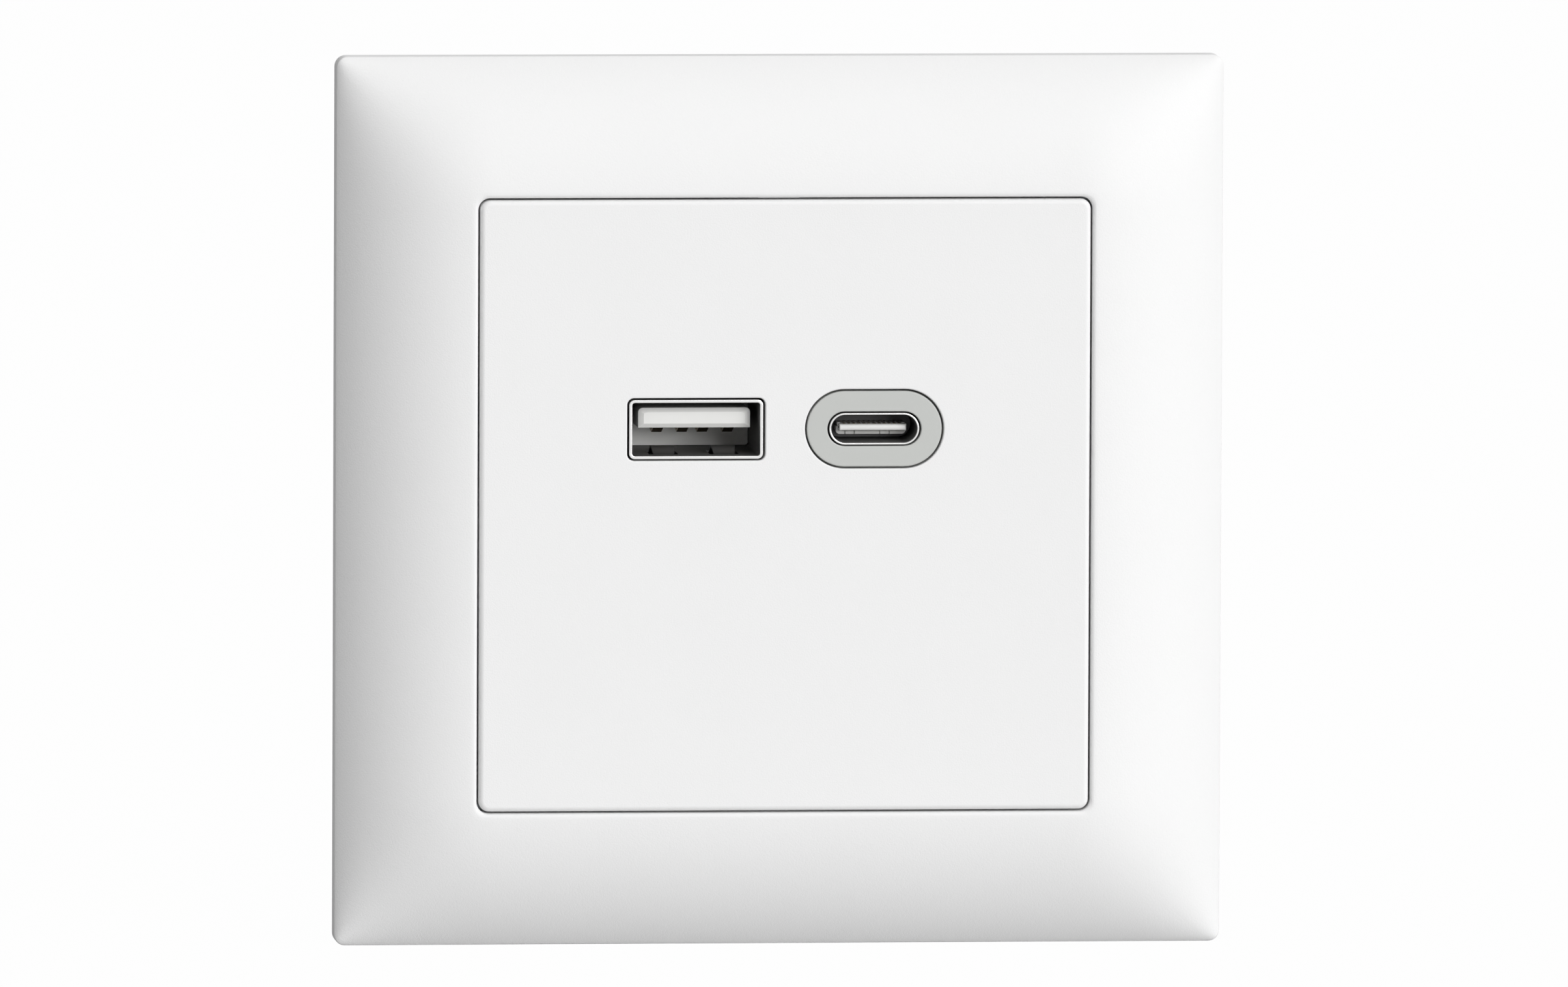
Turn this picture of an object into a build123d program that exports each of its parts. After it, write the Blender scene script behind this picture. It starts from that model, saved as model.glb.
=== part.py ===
"""Flush-mounted charging socket with one USB type A and one USB type C port.

Every piece is drawn lying on its back: X to the right, Y up the wall, Z out of the wall, with the
wall surface at Z = 0. At the end each piece is stood up, so that +Z is up, the front faces -Y and the
origin is the centre of the socket on the wall surface. Lengths are in millimetres.
"""

from build123d import *
from math import asin, cos, sin, sqrt
import os

# How far cuts run past what they cut, and how exactly a level is found
OVERCUT = 1.0
LEVEL_TOLERANCE = 0.01

# Cover frame
FRAME_SIDE = 88.0
FRAME_CORNER_RADIUS = 0.9
FRAME_HEIGHT = 9.0
FRAME_RIM_HEIGHT = 2.4
FRAME_WALL = 1.8
FRAME_EDGE_RADIUS = 0.2
FRAME_CROWN_OVERRUN = 1.2
FRAME_CORNER_GROWTH = 0.8
FRAME_SECTIONS = 6
FRAME_LINING = 1.6
FRAME_RIB_THICKNESS = 1.0
FRAME_RIB_OFFSET = 11.0
OPENING_EDGE_RADIUS = 0.3

# Front plate
PLATE_SIDE = 60.2
PLATE_CORNER_RADIUS = 0.8
PLATE_THICKNESS = 2.0
PLATE_EDGE_RADIUS = 0.25
PLATE_GAP = 0.2
SKIRT_WALL = 1.5
SKIRT_DEPTH = 4.6
CARRIER_THICKNESS = 1.2
CUTOUT_EDGE_RADIUS = 0.15

# Ports: places on the front plate, seen from the front
PORT_SPACING = 17.65
PORT_RAISE = 7.55
PORT_RECESS = 0.1
PORT_HEIGHT = 13.9
PORT_FIT_GAP = 0.03

# USB type A receptacle
A_WIDTH = 12.6
A_HEIGHT = 5.2
A_SHEET = 0.32
A_CORNER_RADIUS = 0.5
A_CUTOUT_GAP = 0.18
A_TONGUE_WIDTH = 11.1
A_TONGUE_THICKNESS = 1.84
A_TONGUE_CEILING = 0.7
A_TONGUE_RECESS = 2.1
A_TONGUE_BEVEL = 0.45
A_DEPTH = 12.2
A_CONTACT_WIDTH = 1.0
A_CONTACT_SHEET = 0.25
A_CONTACT_BULGE = 0.7
A_CONTACT_DEPTH = 5.0
A_CONTACT_OUTER = 3.5
A_CONTACT_INNER = 1.0
A_FINGER_WIDTH = 2.2
A_FINGER_LENGTH = 4.6
A_FINGER_CREST = 3.2
A_FINGER_TIP_LIFT = 0.1
A_FINGER_OFFSET = 3.1
A_FINGER_SETBACK = 1.3
A_FINGER_DIP_LOWER = 0.75
A_FINGER_DIP_UPPER = 0.3
A_FINGER_GAP = 0.35
A_LEG_WIDTH = 1.2

# USB type C receptacle
C_WIDTH = 8.4
C_HEIGHT = 2.62
C_SHEET = 0.3
C_LIP_RADIUS = 0.12
C_TONGUE_WIDTH = 6.69
C_TONGUE_THICKNESS = 0.7
C_TONGUE_LENGTH = 4.45
C_TONGUE_RECESS = 1.75
C_TONGUE_BEVEL = 0.17
C_STEP_WIDTH = 6.0
C_STEP_THICKNESS = 1.5
C_STEP_LENGTH = 0.9
C_STEP_CORNER_RADIUS = 0.5
C_CONTACT_PITCH = 0.5
C_CONTACT_COUNT = 12
C_CONTACT_WIDTH = 0.26
C_CONTACT_SHEET = 0.1
C_CONTACT_SETBACK = 0.55
C_TAIL_LENGTH = 0.9
C_MID_SHEET = 0.15
C_LATCH_DEPTH = 0.3
C_LATCH_LENGTH = 0.8
C_LEG_WIDTH = 1.1

# Grey collar of the type C port
COLLAR_WIDTH = 13.35
COLLAR_HEIGHT = 7.45
COLLAR_GAP = 0.17
COLLAR_BORE_GAP = 0.08
COLLAR_FLANGE = 1.1
COLLAR_FOOT = 1.4

# Support plate on the wall box
SUPPORT_MARGIN = 4.1
SUPPORT_CORNER_RADIUS = 3.0
SUPPORT_SHEET = 1.2
SUPPORT_WINDOW_GAP = 1.0
BOX_SCREW_SPACING = 60.0
BOX_SLOT_WIDTH = 4.2
BOX_SLOT_LENGTH = 7.6
BOX_SCREW_HEAD = 8.0
BOX_SCREW_ROOM = 0.5
LUG_WIDTH = 10.0
LUG_HEIGHT = 3.6
LUG_OFFSET = 22.0
LUG_WINDOW_WIDTH = 7.4
LUG_WINDOW_HEIGHT = 1.4
LUG_WINDOW_SILL = 1.5
HOOK_GAP = 0.3
HOOK_ARM = 1.5
HOOK_REACH = 0.8

# Charger module case, sized round what it holds
HOUSING_CHAMFER = 7.5
HOUSING_WALL = 1.5
HOUSING_EDGE_RADIUS = 0.6
FLANGE_MARGIN = 4.0
FLANGE_THICKNESS = 1.5
FLANGE_CORNER_RADIUS = 3.0
LIP_WALL = 1.35
LIP_GAP = 0.15
LIP_HEIGHT = 3.8
LIP_ROOT = 2.0
CASE_ROOM = 1.0
CATCH_WIDTH = 6.0
CATCH_HEIGHT = 1.3
CATCH_REACH = 1.0
CATCH_GAP = 0.2
CATCH_DROP = 2.0
CATCH_OFFSET = 9.0
RIB_WIDTH = 3.0
RIB_DEPTH = 1.6
LEG_WIDTH = 6.0
LEG_THICKNESS = 1.4
LEG_OFFSET = 11.0
LEG_GAP = 0.25
LEG_FOOT_GAP = 0.4
NOSE_DEPTH = 0.55
NOSE_HEIGHT = 0.75
APERTURE_GAP = 0.15

# Screws that hold the module to the support plate
SCREW_SETBACK = 5.3
SCREW_DIAMETER = 2.4
SCREW_HOLE_GAP = 0.05
SCREW_TIP_GAP = 0.1
SCREW_HEAD_DIAMETER = 4.4
SCREW_HEAD_HEIGHT = 1.5
SCREW_HEAD_ROUND = 0.5
SCREW_RECESS_WIDTH = 0.6
SCREW_RECESS_LENGTH = 2.9
SCREW_RECESS_DEPTH = 0.8

# Circuit board
BOARD_THICKNESS = 1.2
BOARD_GAP = 0.5
LEAD_GAP = 0.1
LEAD_SHORT = 0.2

# Push-in terminals for the mains wires
TERMINAL_WIDTH = 14.6
TERMINAL_HEIGHT = 11.0
TERMINAL_DEPTH = 15.6
TERMINAL_GAP = 1.4
TERMINAL_DROP = 1.7
TERMINAL_PROUD = 0.6
TERMINAL_SHOULDER = 0.4
WINDOW_GAP = 0.15
WIRE_BORE = 3.0
WIRE_BORE_LENGTH = 7.0
WIRE_BORE_OFFSET = 4.4
WIRE_BORE_DROP = 1.8
WIRE_FUNNEL = 0.5
CHAMBER_WALL = 0.9
BUTTON_WIDTH = 4.2
BUTTON_HEIGHT = 2.9
BUTTON_RAISE = 2.6
BUTTON_GAP = 0.15
BUTTON_TRAVEL = 1.5
BUTTON_STOP_GAP = 0.3
BUTTON_BEVEL = 0.35
BUTTON_SLOT_WIDTH = 2.9
BUTTON_SLOT_HEIGHT = 0.7
BUTTON_SLOT_DEPTH = 0.5
BUTTON_SHOULDER = 0.8
BUTTON_SHOULDER_LENGTH = 2.0
BUTTON_SHOULDER_SETBACK = 4.6
SPRING_SHEET = 0.4
SPRING_WIDTH = 11.2
SPRING_LENGTH = 5.0
SPRING_RISE = 2.4
SPRING_BEND = 0.8
SPRING_TIP_GAP = 0.2
BAR_SHEET = 0.8
BAR_SETBACK = 1.0
BAR_PIN_WIDTH = 1.2
BAR_PIN_SPACING = 7.6

# Parts on the back of the board
PART_GAP = 0.6
TRANSFORMER_WIDTH = 16.0
TRANSFORMER_HEIGHT = 13.4
TRANSFORMER_DEPTH = 14.0
TRANSFORMER_EDGE_GAP = 1.6
TRANSFORMER_PIN_INSET = 0.9
CORE_LIMB = 3.4
CORE_THICKNESS = 5.6
BOBBIN_FLANGE = 1.0
BOBBIN_BASE = 2.2
BOBBIN_TUBE = 0.7
INPUT_CAP_DIAMETER = 8.0
INPUT_CAP_LENGTH = 14.0
OUTPUT_CAP_DIAMETER = 6.3
OUTPUT_CAP_LENGTH = 9.0
CAP_GROOVE = 0.3
CAP_GROOVE_LEVEL = 1.4
LEAD_DIAMETER = 0.6
LEAD_SPACING = 2.5
FUSE_WIDTH = 8.4
FUSE_THICKNESS = 4.0
FUSE_DEPTH = 8.0
FUSE_CORNER_RADIUS = 0.65
FUSE_EDGE_RADIUS = 0.5
DISC_DIAMETER = 6.6
DISC_THICKNESS = 3.2
DISC_ROUND = 1.05
DISC_STANDOFF = 1.0
CHOKE_DIAMETER = 5.2
CHOKE_LENGTH = 6.4
CHOKE_RIM = 0.9
CHOKE_NECK = 2.6

# Flat packages: body width, body height, body depth
BRIDGE_BODY = (4.8, 4.2, 1.6)
CONTROLLER_BODY = (4.4, 3.9, 1.5)
OPTO_BODY = (4.6, 4.0, 3.4)
PORT_CHIP_BODY = (4.0, 4.0, 0.9)
INDUCTOR_BODY = (6.6, 6.6, 3.0)
CHIP_BODY = (1.6, 0.8, 0.8)
PACKAGE_BEVEL = 0.15
PACKAGE_LEADS = 4
PACKAGE_LEAD_SPAN = 0.8
PACKAGE_LEAD_SHEET = 0.2
PACKAGE_LEAD_WIDTH = 0.4
CHIP_CORNER_RADIUS = 0.1
CHIP_DROP = 2.4
CHIP_COUNT = 6
CHIP_PITCH = 2.4

# Levels along Z that several pieces share
port_level = FRAME_HEIGHT - PORT_RECESS
skirt_level = FRAME_HEIGHT - SKIRT_DEPTH
plate_under = FRAME_HEIGHT - PLATE_THICKNESS
housing_top = plate_under - COLLAR_FOOT
housing_ceiling = housing_top - HOUSING_WALL
board_front = port_level - PORT_HEIGHT
board_back = board_front - BOARD_THICKNESS
lead_front = board_front - LEAD_SHORT
lead_back = board_back + LEAD_SHORT
flange_top = SUPPORT_SHEET + FLANGE_THICKNESS
housing_split = board_back - LIP_HEIGHT
lip_root_level = housing_split - LIP_ROOT
behind_lip = lip_root_level - CASE_ROOM - TERMINAL_DEPTH + TERMINAL_PROUD
behind_parts = board_back - max(TRANSFORMER_DEPTH, INPUT_CAP_LENGTH) - CASE_ROOM - HOUSING_WALL
housing_back = min(behind_lip, behind_parts)
back_wall_inside = housing_back + HOUSING_WALL
terminal_back = housing_back - TERMINAL_PROUD
terminal_front = terminal_back + TERMINAL_DEPTH
button_end = terminal_back - BUTTON_TRAVEL - BUTTON_STOP_GAP
chamber_floor = terminal_back + WIRE_BORE_LENGTH
spring_level = terminal_front - SPRING_LENGTH
lug_top = SUPPORT_SHEET + LUG_HEIGHT
window_floor = SUPPORT_SHEET + LUG_WINDOW_SILL

# The row of parts between the transformer and the terminals, left to right
opto_width = OPTO_BODY[0] + 2 * PACKAGE_LEAD_SPAN
row_widths = {
    "fuse": FUSE_WIDTH,
    "varistor": DISC_DIAMETER,
    "choke": CHOKE_DIAMETER,
    "opto": opto_width,
    "safety": DISC_DIAMETER,
}
row_width = sum(row_widths.values()) + PART_GAP * (len(row_widths) - 1)
row_height = max(FUSE_THICKNESS, CHOKE_DIAMETER, DISC_THICKNESS, OPTO_BODY[1])

# Room inside the case: as wide as its widest row, as high as all that stands above each other
cap_corner_drop = HOUSING_CHAMFER / 3
columns_width = TRANSFORMER_WIDTH + 2 * PART_GAP + 2 * max(INPUT_CAP_DIAMETER, OUTPUT_CAP_DIAMETER)
columns_height = max(
    2 * max(INPUT_CAP_DIAMETER, OUTPUT_CAP_DIAMETER) + PART_GAP + cap_corner_drop,
    TRANSFORMER_HEIGHT + TRANSFORMER_EDGE_GAP,
)
stack_height = columns_height + row_height + TERMINAL_HEIGHT + TERMINAL_DROP + 2 * PART_GAP
terminals_width = 2 * TERMINAL_WIDTH + TERMINAL_GAP
room_half = max(row_width, columns_width, terminals_width, stack_height - 2 * CASE_ROOM) / 2 + CASE_ROOM
lip_inset = HOUSING_WALL + LIP_GAP
housing_half = room_half + lip_inset + LIP_WALL
cap_row_top = room_half - cap_corner_drop
row_y = room_half - columns_height - PART_GAP - row_height / 2
transformer_y = room_half - TRANSFORMER_EDGE_GAP - TRANSFORMER_HEIGHT / 2
terminal_x = (TERMINAL_WIDTH + TERMINAL_GAP) / 2
terminal_y = -room_half + TERMINAL_DROP + TERMINAL_HEIGHT / 2
front_chips_y = terminal_y / 2

# Other sizes that several pieces share
opening_side = PLATE_SIDE + 2 * PLATE_GAP
support_side = opening_side + 2 * FRAME_LINING + 2 * SUPPORT_MARGIN
screw_half = housing_half - HOUSING_CHAMFER / 2 + SCREW_SETBACK / sqrt(2)
flange_side = 2 * (screw_half + FLANGE_MARGIN)
a_outer = (A_WIDTH + 2 * A_SHEET, A_HEIGHT + 2 * A_SHEET)
c_outer = (C_WIDTH + 2 * C_SHEET, C_HEIGHT + 2 * C_SHEET)
chamber_width = TERMINAL_WIDTH - 2 * CHAMBER_WALL
chamber_height = TERMINAL_HEIGHT - 2 * CHAMBER_WALL
a_place = Pos(-PORT_SPACING / 2, PORT_RAISE, 0)
c_place = Pos(PORT_SPACING / 2, PORT_RAISE, 0)
terminal_places = {"live": Pos(-terminal_x, terminal_y, 0), "neutral": Pos(terminal_x, terminal_y, 0)}


def slab(outline, bottom, top):
    """The solid of one flat outline between two levels."""
    return extrude(Pos(0, 0, bottom) * outline, top - bottom)


def block(x, y, z):
    """A box between the two ends that each of x, y and z gives."""
    centre = Pos(sum(x) / 2, sum(y) / 2, sum(z) / 2)
    return centre * Box(abs(x[1] - x[0]), abs(y[1] - y[0]), abs(z[1] - z[0]))


def round_square(side, radius):
    return RectangleRounded(side, side, radius)


def case_outline(inset):
    """The module's outline, a square with cut corners, moved in by inset all round."""
    square = Rectangle(2 * (housing_half - inset), 2 * (housing_half - inset))
    return chamfer(square.vertices(), HOUSING_CHAMFER - inset * (2 - sqrt(2)))


def corners(half):
    """The four corners of a square, given half its side."""
    return [Pos(x * half, y * half, 0) for x in (-1, 1) for y in (-1, 1)]


def edges_at(part, level):
    """The edges that lie flat at one level."""
    return part.edges().filter_by_position(Axis.Z, level - LEVEL_TOLERANCE, level + LEVEL_TOLERANCE)


def pillow(side, rim, crest, bottom):
    """A square that rises from a low rim to a flat crest on a round arc.

    The corners are tight at the rim and open out towards the crest.
    """
    run = (side - opening_side) / 2 + FRAME_CROWN_OVERRUN
    drop = crest - rim
    radius = (run**2 + drop**2) / (2 * drop)
    steepest = asin(run / radius)
    sections = []
    for step in range(FRAME_SECTIONS + 1):
        angle = steepest * (1 - step / FRAME_SECTIONS)
        inward = run - radius * sin(angle)
        level = crest - radius * (1 - cos(angle))
        corner = FRAME_CORNER_RADIUS + FRAME_CORNER_GROWTH * inward
        sections.append(Pos(0, 0, level) * round_square(side - 2 * inward, corner))
    return slab(round_square(side, FRAME_CORNER_RADIUS), bottom, rim) + loft(sections)


def cover_frame():
    """Pillow-shaped border, hollow behind, lined round the opening, with four snap hooks."""
    outside = pillow(FRAME_SIDE, FRAME_RIM_HEIGHT, FRAME_HEIGHT, 0)
    hollow = pillow(
        FRAME_SIDE - 2 * FRAME_WALL, FRAME_RIM_HEIGHT / 2, FRAME_HEIGHT - FRAME_WALL, -OVERCUT
    )
    lining = round_square(opening_side + 2 * FRAME_LINING, PLATE_CORNER_RADIUS + FRAME_LINING)
    hollow -= slab(lining, skirt_level, FRAME_HEIGHT)
    opening = round_square(opening_side, PLATE_CORNER_RADIUS + PLATE_GAP)
    frame = outside - slab(opening, -OVERCUT, FRAME_HEIGHT + OVERCUT)
    mouth = [
        edge
        for edge in frame.edges()
        if edge.center().Z > FRAME_HEIGHT - OPENING_EDGE_RADIUS
        and max(abs(edge.center().X), abs(edge.center().Y)) < opening_side / 2 + LEVEL_TOLERANCE
    ]
    frame = fillet(mouth, OPENING_EDGE_RADIUS)
    frame = fillet(edges_at(frame, FRAME_RIM_HEIGHT), FRAME_EDGE_RADIUS)
    frame -= hollow
    for rib in frame_ribs():
        frame += rib & outside
    for side in (-1, 1):
        for place in (-1, 1):
            frame += snap_hook(side, place) & outside
    return frame


def frame_ribs():
    """Two stiffening ribs behind each side of the border, from the lining to the outer wall."""
    lining = opening_side / 2 + FRAME_LINING / 2
    half = FRAME_RIB_THICKNESS / 2
    ribs = []
    for turn in (0, 90, 180, 270):
        for middle in (-FRAME_RIB_OFFSET, FRAME_RIB_OFFSET):
            rib = block(
                (lining, FRAME_SIDE / 2), (middle - half, middle + half), (skirt_level, FRAME_HEIGHT)
            )
            ribs.append(Rot(0, 0, turn) * rib)
    return ribs


def snap_hook(side, place):
    """One downward arm inside the frame, whose nose catches in a window of the support plate."""
    lug_face = support_side / 2
    arm_x = lug_face + HOOK_GAP
    half = LUG_WINDOW_WIDTH / 2 - HOOK_GAP
    middle = place * LUG_OFFSET
    nose = (window_floor + HOOK_GAP, window_floor + LUG_WINDOW_HEIGHT - HOOK_GAP)
    arm = block((arm_x, arm_x + HOOK_ARM), (middle - half, middle + half), (nose[0], FRAME_HEIGHT))
    catch = block((lug_face - HOOK_REACH, arm_x), (middle - half, middle + half), nose)
    hook = arm + catch
    return hook if side > 0 else mirror(hook, Plane.YZ)


def a_cutout():
    gap = 2 * A_CUTOUT_GAP
    return RectangleRounded(a_outer[0] + gap, a_outer[1] + gap, A_CORNER_RADIUS + A_CUTOUT_GAP)


def front_plate():
    """Flat plate with the two port cut-outs."""
    plate = slab(round_square(PLATE_SIDE, PLATE_CORNER_RADIUS), plate_under, FRAME_HEIGHT)
    plate = fillet(edges_at(plate, FRAME_HEIGHT), PLATE_EDGE_RADIUS)
    oval = SlotOverall(COLLAR_WIDTH + 2 * COLLAR_GAP, COLLAR_HEIGHT + 2 * COLLAR_GAP)
    through = (plate_under - OVERCUT, FRAME_HEIGHT + OVERCUT)
    plate -= a_place * slab(a_cutout(), *through)
    plate -= c_place * slab(oval, *through)
    mouths = [
        edge
        for edge in edges_at(plate, FRAME_HEIGHT)
        if max(abs(edge.center().X), abs(edge.center().Y)) < PLATE_SIDE / 2 - SKIRT_WALL
    ]
    return fillet(mouths, CUTOUT_EDGE_RADIUS)


def plate_carrier():
    """Square ring welded under the front plate, with a skirt round it and four snap legs."""
    outline = round_square(PLATE_SIDE, PLATE_CORNER_RADIUS)
    inside = round_square(PLATE_SIDE - 2 * SKIRT_WALL, PLATE_CORNER_RADIUS)
    window = case_outline(-LEG_GAP)
    carrier = slab(outline - window, plate_under - CARRIER_THICKNESS, plate_under)
    carrier += slab(outline - inside, skirt_level, plate_under)
    for side in (-1, 1):
        for place in (-1, 1):
            carrier += snap_leg(side, place)
    return carrier


def snap_leg(side, place):
    """One leg of the carrier, whose nose rests in a notch of the module's case."""
    inner = housing_half + LEG_GAP
    middle = place * LEG_OFFSET
    width = (middle - LEG_WIDTH / 2, middle + LEG_WIDTH / 2)
    foot = flange_top + LEG_FOOT_GAP
    leg = block((inner, inner + LEG_THICKNESS), width, (foot, plate_under))
    leg += block((inner - LEG_GAP - NOSE_DEPTH, inner), width, (foot, foot + NOSE_HEIGHT))
    return leg if side > 0 else mirror(leg, Plane.YZ)


def leg_notch(side, place):
    """The notch in the case that takes one nose, with room all round."""
    foot = flange_top + LEG_FOOT_GAP
    half = LEG_WIDTH / 2 + LEG_GAP
    middle = place * LEG_OFFSET
    depth = NOSE_DEPTH + LEG_GAP
    notch = block(
        (housing_half - depth, housing_half + LEG_GAP / 2),
        (middle - half, middle + half),
        (foot - LEG_FOOT_GAP, foot + NOSE_HEIGHT + LEG_GAP),
    )
    return notch if side > 0 else mirror(notch, Plane.YZ)


def usb_c_collar():
    """Oval sleeve that stands through the front plate, on a wider foot that the plate holds down."""
    hole = SlotOverall(c_outer[0] + 2 * COLLAR_BORE_GAP, c_outer[1] + 2 * COLLAR_BORE_GAP)
    foot = SlotOverall(COLLAR_WIDTH + 2 * COLLAR_FLANGE, COLLAR_HEIGHT + 2 * COLLAR_FLANGE)
    collar = slab(SlotOverall(COLLAR_WIDTH, COLLAR_HEIGHT), housing_top, port_level)
    collar = fillet(edges_at(collar, port_level), C_LIP_RADIUS)
    collar += slab(foot, housing_top, plate_under)
    collar -= slab(hole, housing_top - OVERCUT, port_level + OVERCUT)
    return c_place * collar


def a_legs():
    """The solder legs of the type A shell, one each side: centre, width along X and along Y."""
    x = a_outer[0] / 2 - A_SHEET / 2
    return [(side * x, 0, A_SHEET, A_LEG_WIDTH) for side in (-1, 1)]


def c_legs():
    """The solder legs of the type C shell, one each side: centre, width along X and along Y."""
    x = c_outer[0] / 2 - C_SHEET / 2
    return [(side * x, 0, C_SHEET, C_LEG_WIDTH) for side in (-1, 1)]


def flat_pins(pins, gap, bottom, top):
    """Flat pins between two levels, grown by a gap where they are holes."""
    return [
        block(
            (x - wide / 2 - gap, x + wide / 2 + gap),
            (y - deep / 2 - gap, y + deep / 2 + gap),
            (bottom, top),
        )
        for x, y, wide, deep in pins
    ]


def finger_slots():
    """Windows in the upper and lower walls of the type A shell, one round each spring finger."""
    top = port_level - A_FINGER_SETBACK
    half = A_FINGER_WIDTH / 2 + A_FINGER_GAP
    slots = []
    for x in (-A_FINGER_OFFSET, A_FINGER_OFFSET):
        for wall in (-1, 1):
            y = wall * (A_HEIGHT / 2 + A_SHEET / 2)
            level = (top - A_FINGER_LENGTH - A_FINGER_GAP, top)
            slots.append(block((x - half, x + half), (y - A_SHEET, y + A_SHEET), level))
    return slots


def spring_finger(dip):
    """One finger bent up into the shell from below: rooted at the mouth, free end deeper."""
    root = port_level - A_FINGER_SETBACK
    wall = -A_HEIGHT / 2 - A_SHEET / 2
    with BuildSketch(Plane.YZ) as profile:
        with BuildLine():
            Polyline(
                (wall, root + A_SHEET),
                (wall, root),
                (wall + dip, root - A_FINGER_CREST),
                (wall + A_FINGER_TIP_LIFT, root - A_FINGER_LENGTH),
            )
        trace(line_width=A_SHEET)
    return extrude(profile.sketch, A_FINGER_WIDTH / 2, both=True)


def usb_a_shell():
    """Rolled steel shell with four solder legs and four inward spring fingers."""
    outer = RectangleRounded(*a_outer, A_CORNER_RADIUS)
    inner = RectangleRounded(A_WIDTH, A_HEIGHT, A_CORNER_RADIUS - A_SHEET / 2)
    shell = slab(outer - inner, board_front, port_level)
    for slot in finger_slots():
        shell -= slot
    lower = spring_finger(A_FINGER_DIP_LOWER)
    upper = mirror(spring_finger(A_FINGER_DIP_UPPER), Plane.XZ)
    for x in (-A_FINGER_OFFSET, A_FINGER_OFFSET):
        shell += Pos(x, 0, 0) * lower
        shell += Pos(x, 0, 0) * upper
    for leg in flat_pins(a_legs(), 0, lead_back, board_front):
        shell += leg
    return a_place * shell


def a_tongue_levels():
    """The lower and upper faces of the type A tongue, along Y."""
    top = A_HEIGHT / 2 - A_TONGUE_CEILING
    return top - A_TONGUE_THICKNESS, top


def contact_places():
    return [-A_CONTACT_OUTER, -A_CONTACT_INNER, A_CONTACT_INNER, A_CONTACT_OUTER]


def usb_a_contact(x):
    """One contact: a tail through the board, a straight shank and a spring bulge near its tip."""
    face = a_tongue_levels()[0]
    shank = face + A_CONTACT_SHEET / 2
    tip = port_level - A_TONGUE_RECESS - A_TONGUE_BEVEL
    start = port_level - A_DEPTH
    with BuildSketch(Plane.YZ) as profile:
        with BuildLine():
            Polyline(
                (shank, lead_back),
                (shank, start + A_CONTACT_SHEET),
                (shank - A_CONTACT_BULGE, port_level - A_CONTACT_DEPTH),
                (shank, tip),
            )
        trace(line_width=A_CONTACT_SHEET)
    return a_place * Pos(x, 0, 0) * extrude(profile.sketch, A_CONTACT_WIDTH / 2, both=True)


def usb_a_insulator():
    """White base and tongue, grooved under the tongue for the contacts."""
    low, high = a_tongue_levels()
    base_top = port_level - A_DEPTH
    tip = port_level - A_TONGUE_RECESS
    half = A_TONGUE_WIDTH / 2
    tongue = block((-half, half), (low, high), (base_top, tip))
    tongue = chamfer(
        [edge for edge in edges_at(tongue, tip) if edge.center().Y > low + LEVEL_TOLERANCE], A_TONGUE_BEVEL
    )
    fit = 2 * PORT_FIT_GAP
    body = RectangleRounded(A_WIDTH - fit, A_HEIGHT - fit, A_CORNER_RADIUS - A_SHEET / 2)
    insulator = slab(body, board_front, base_top) + tongue
    groove = A_CONTACT_WIDTH / 2 + LEAD_GAP
    for x in contact_places():
        insulator -= block(
            (x - groove, x + groove),
            (low - LEAD_GAP, low + A_CONTACT_SHEET + LEAD_GAP),
            (board_front - OVERCUT, tip - A_TONGUE_BEVEL + LEAD_GAP),
        )
    return a_place * insulator


def usb_c_shell():
    """Drawn oval shell with a rounded lip and solder legs."""
    shell = slab(SlotOverall(*c_outer), board_front, port_level)
    shell -= slab(SlotOverall(C_WIDTH, C_HEIGHT), board_front - OVERCUT, port_level + OVERCUT)
    shell = fillet(edges_at(shell, port_level), C_LIP_RADIUS)
    for leg in flat_pins(c_legs(), 0, lead_back, board_front + C_SHEET):
        shell += leg
    return c_place * shell


def c_contact_row(side):
    """One row of contacts, above (1) or below (-1) the tongue, each with a tail on the board."""
    tip = port_level - C_TONGUE_RECESS - C_CONTACT_SETBACK
    face = C_TONGUE_THICKNESS / 2
    row = []
    for index in range(C_CONTACT_COUNT):
        x = (index - (C_CONTACT_COUNT - 1) / 2) * C_CONTACT_PITCH
        width = (x - C_CONTACT_WIDTH / 2, x + C_CONTACT_WIDTH / 2)
        strip = block(width, (face - C_CONTACT_SHEET, face), (board_front, tip))
        tail = block(
            width, (face, face + C_TAIL_LENGTH), (board_front, board_front + C_CONTACT_SHEET)
        )
        contact = strip + tail
        row.append(contact if side > 0 else mirror(contact, Plane.XZ))
    return row


def usb_c_contacts(side):
    return c_place * Compound(children=c_contact_row(side))


def c_mid_plate():
    """Steel plate through the middle of the tongue, notched at its sides for the plug's latches."""
    tip = port_level - C_TONGUE_RECESS - C_CONTACT_SETBACK / 2
    half = C_TONGUE_WIDTH / 2
    plate = block((-half, half), (-C_MID_SHEET / 2, C_MID_SHEET / 2), (board_front, tip))
    latch_top = tip - C_LATCH_LENGTH
    for side in (-1, 1):
        edge = side * half
        plate -= block(
            (edge - C_LATCH_DEPTH, edge + C_LATCH_DEPTH),
            (-C_MID_SHEET, C_MID_SHEET),
            (latch_top - C_LATCH_LENGTH, latch_top),
        )
    return plate


def usb_c_mid_plate():
    return c_place * c_mid_plate()


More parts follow.
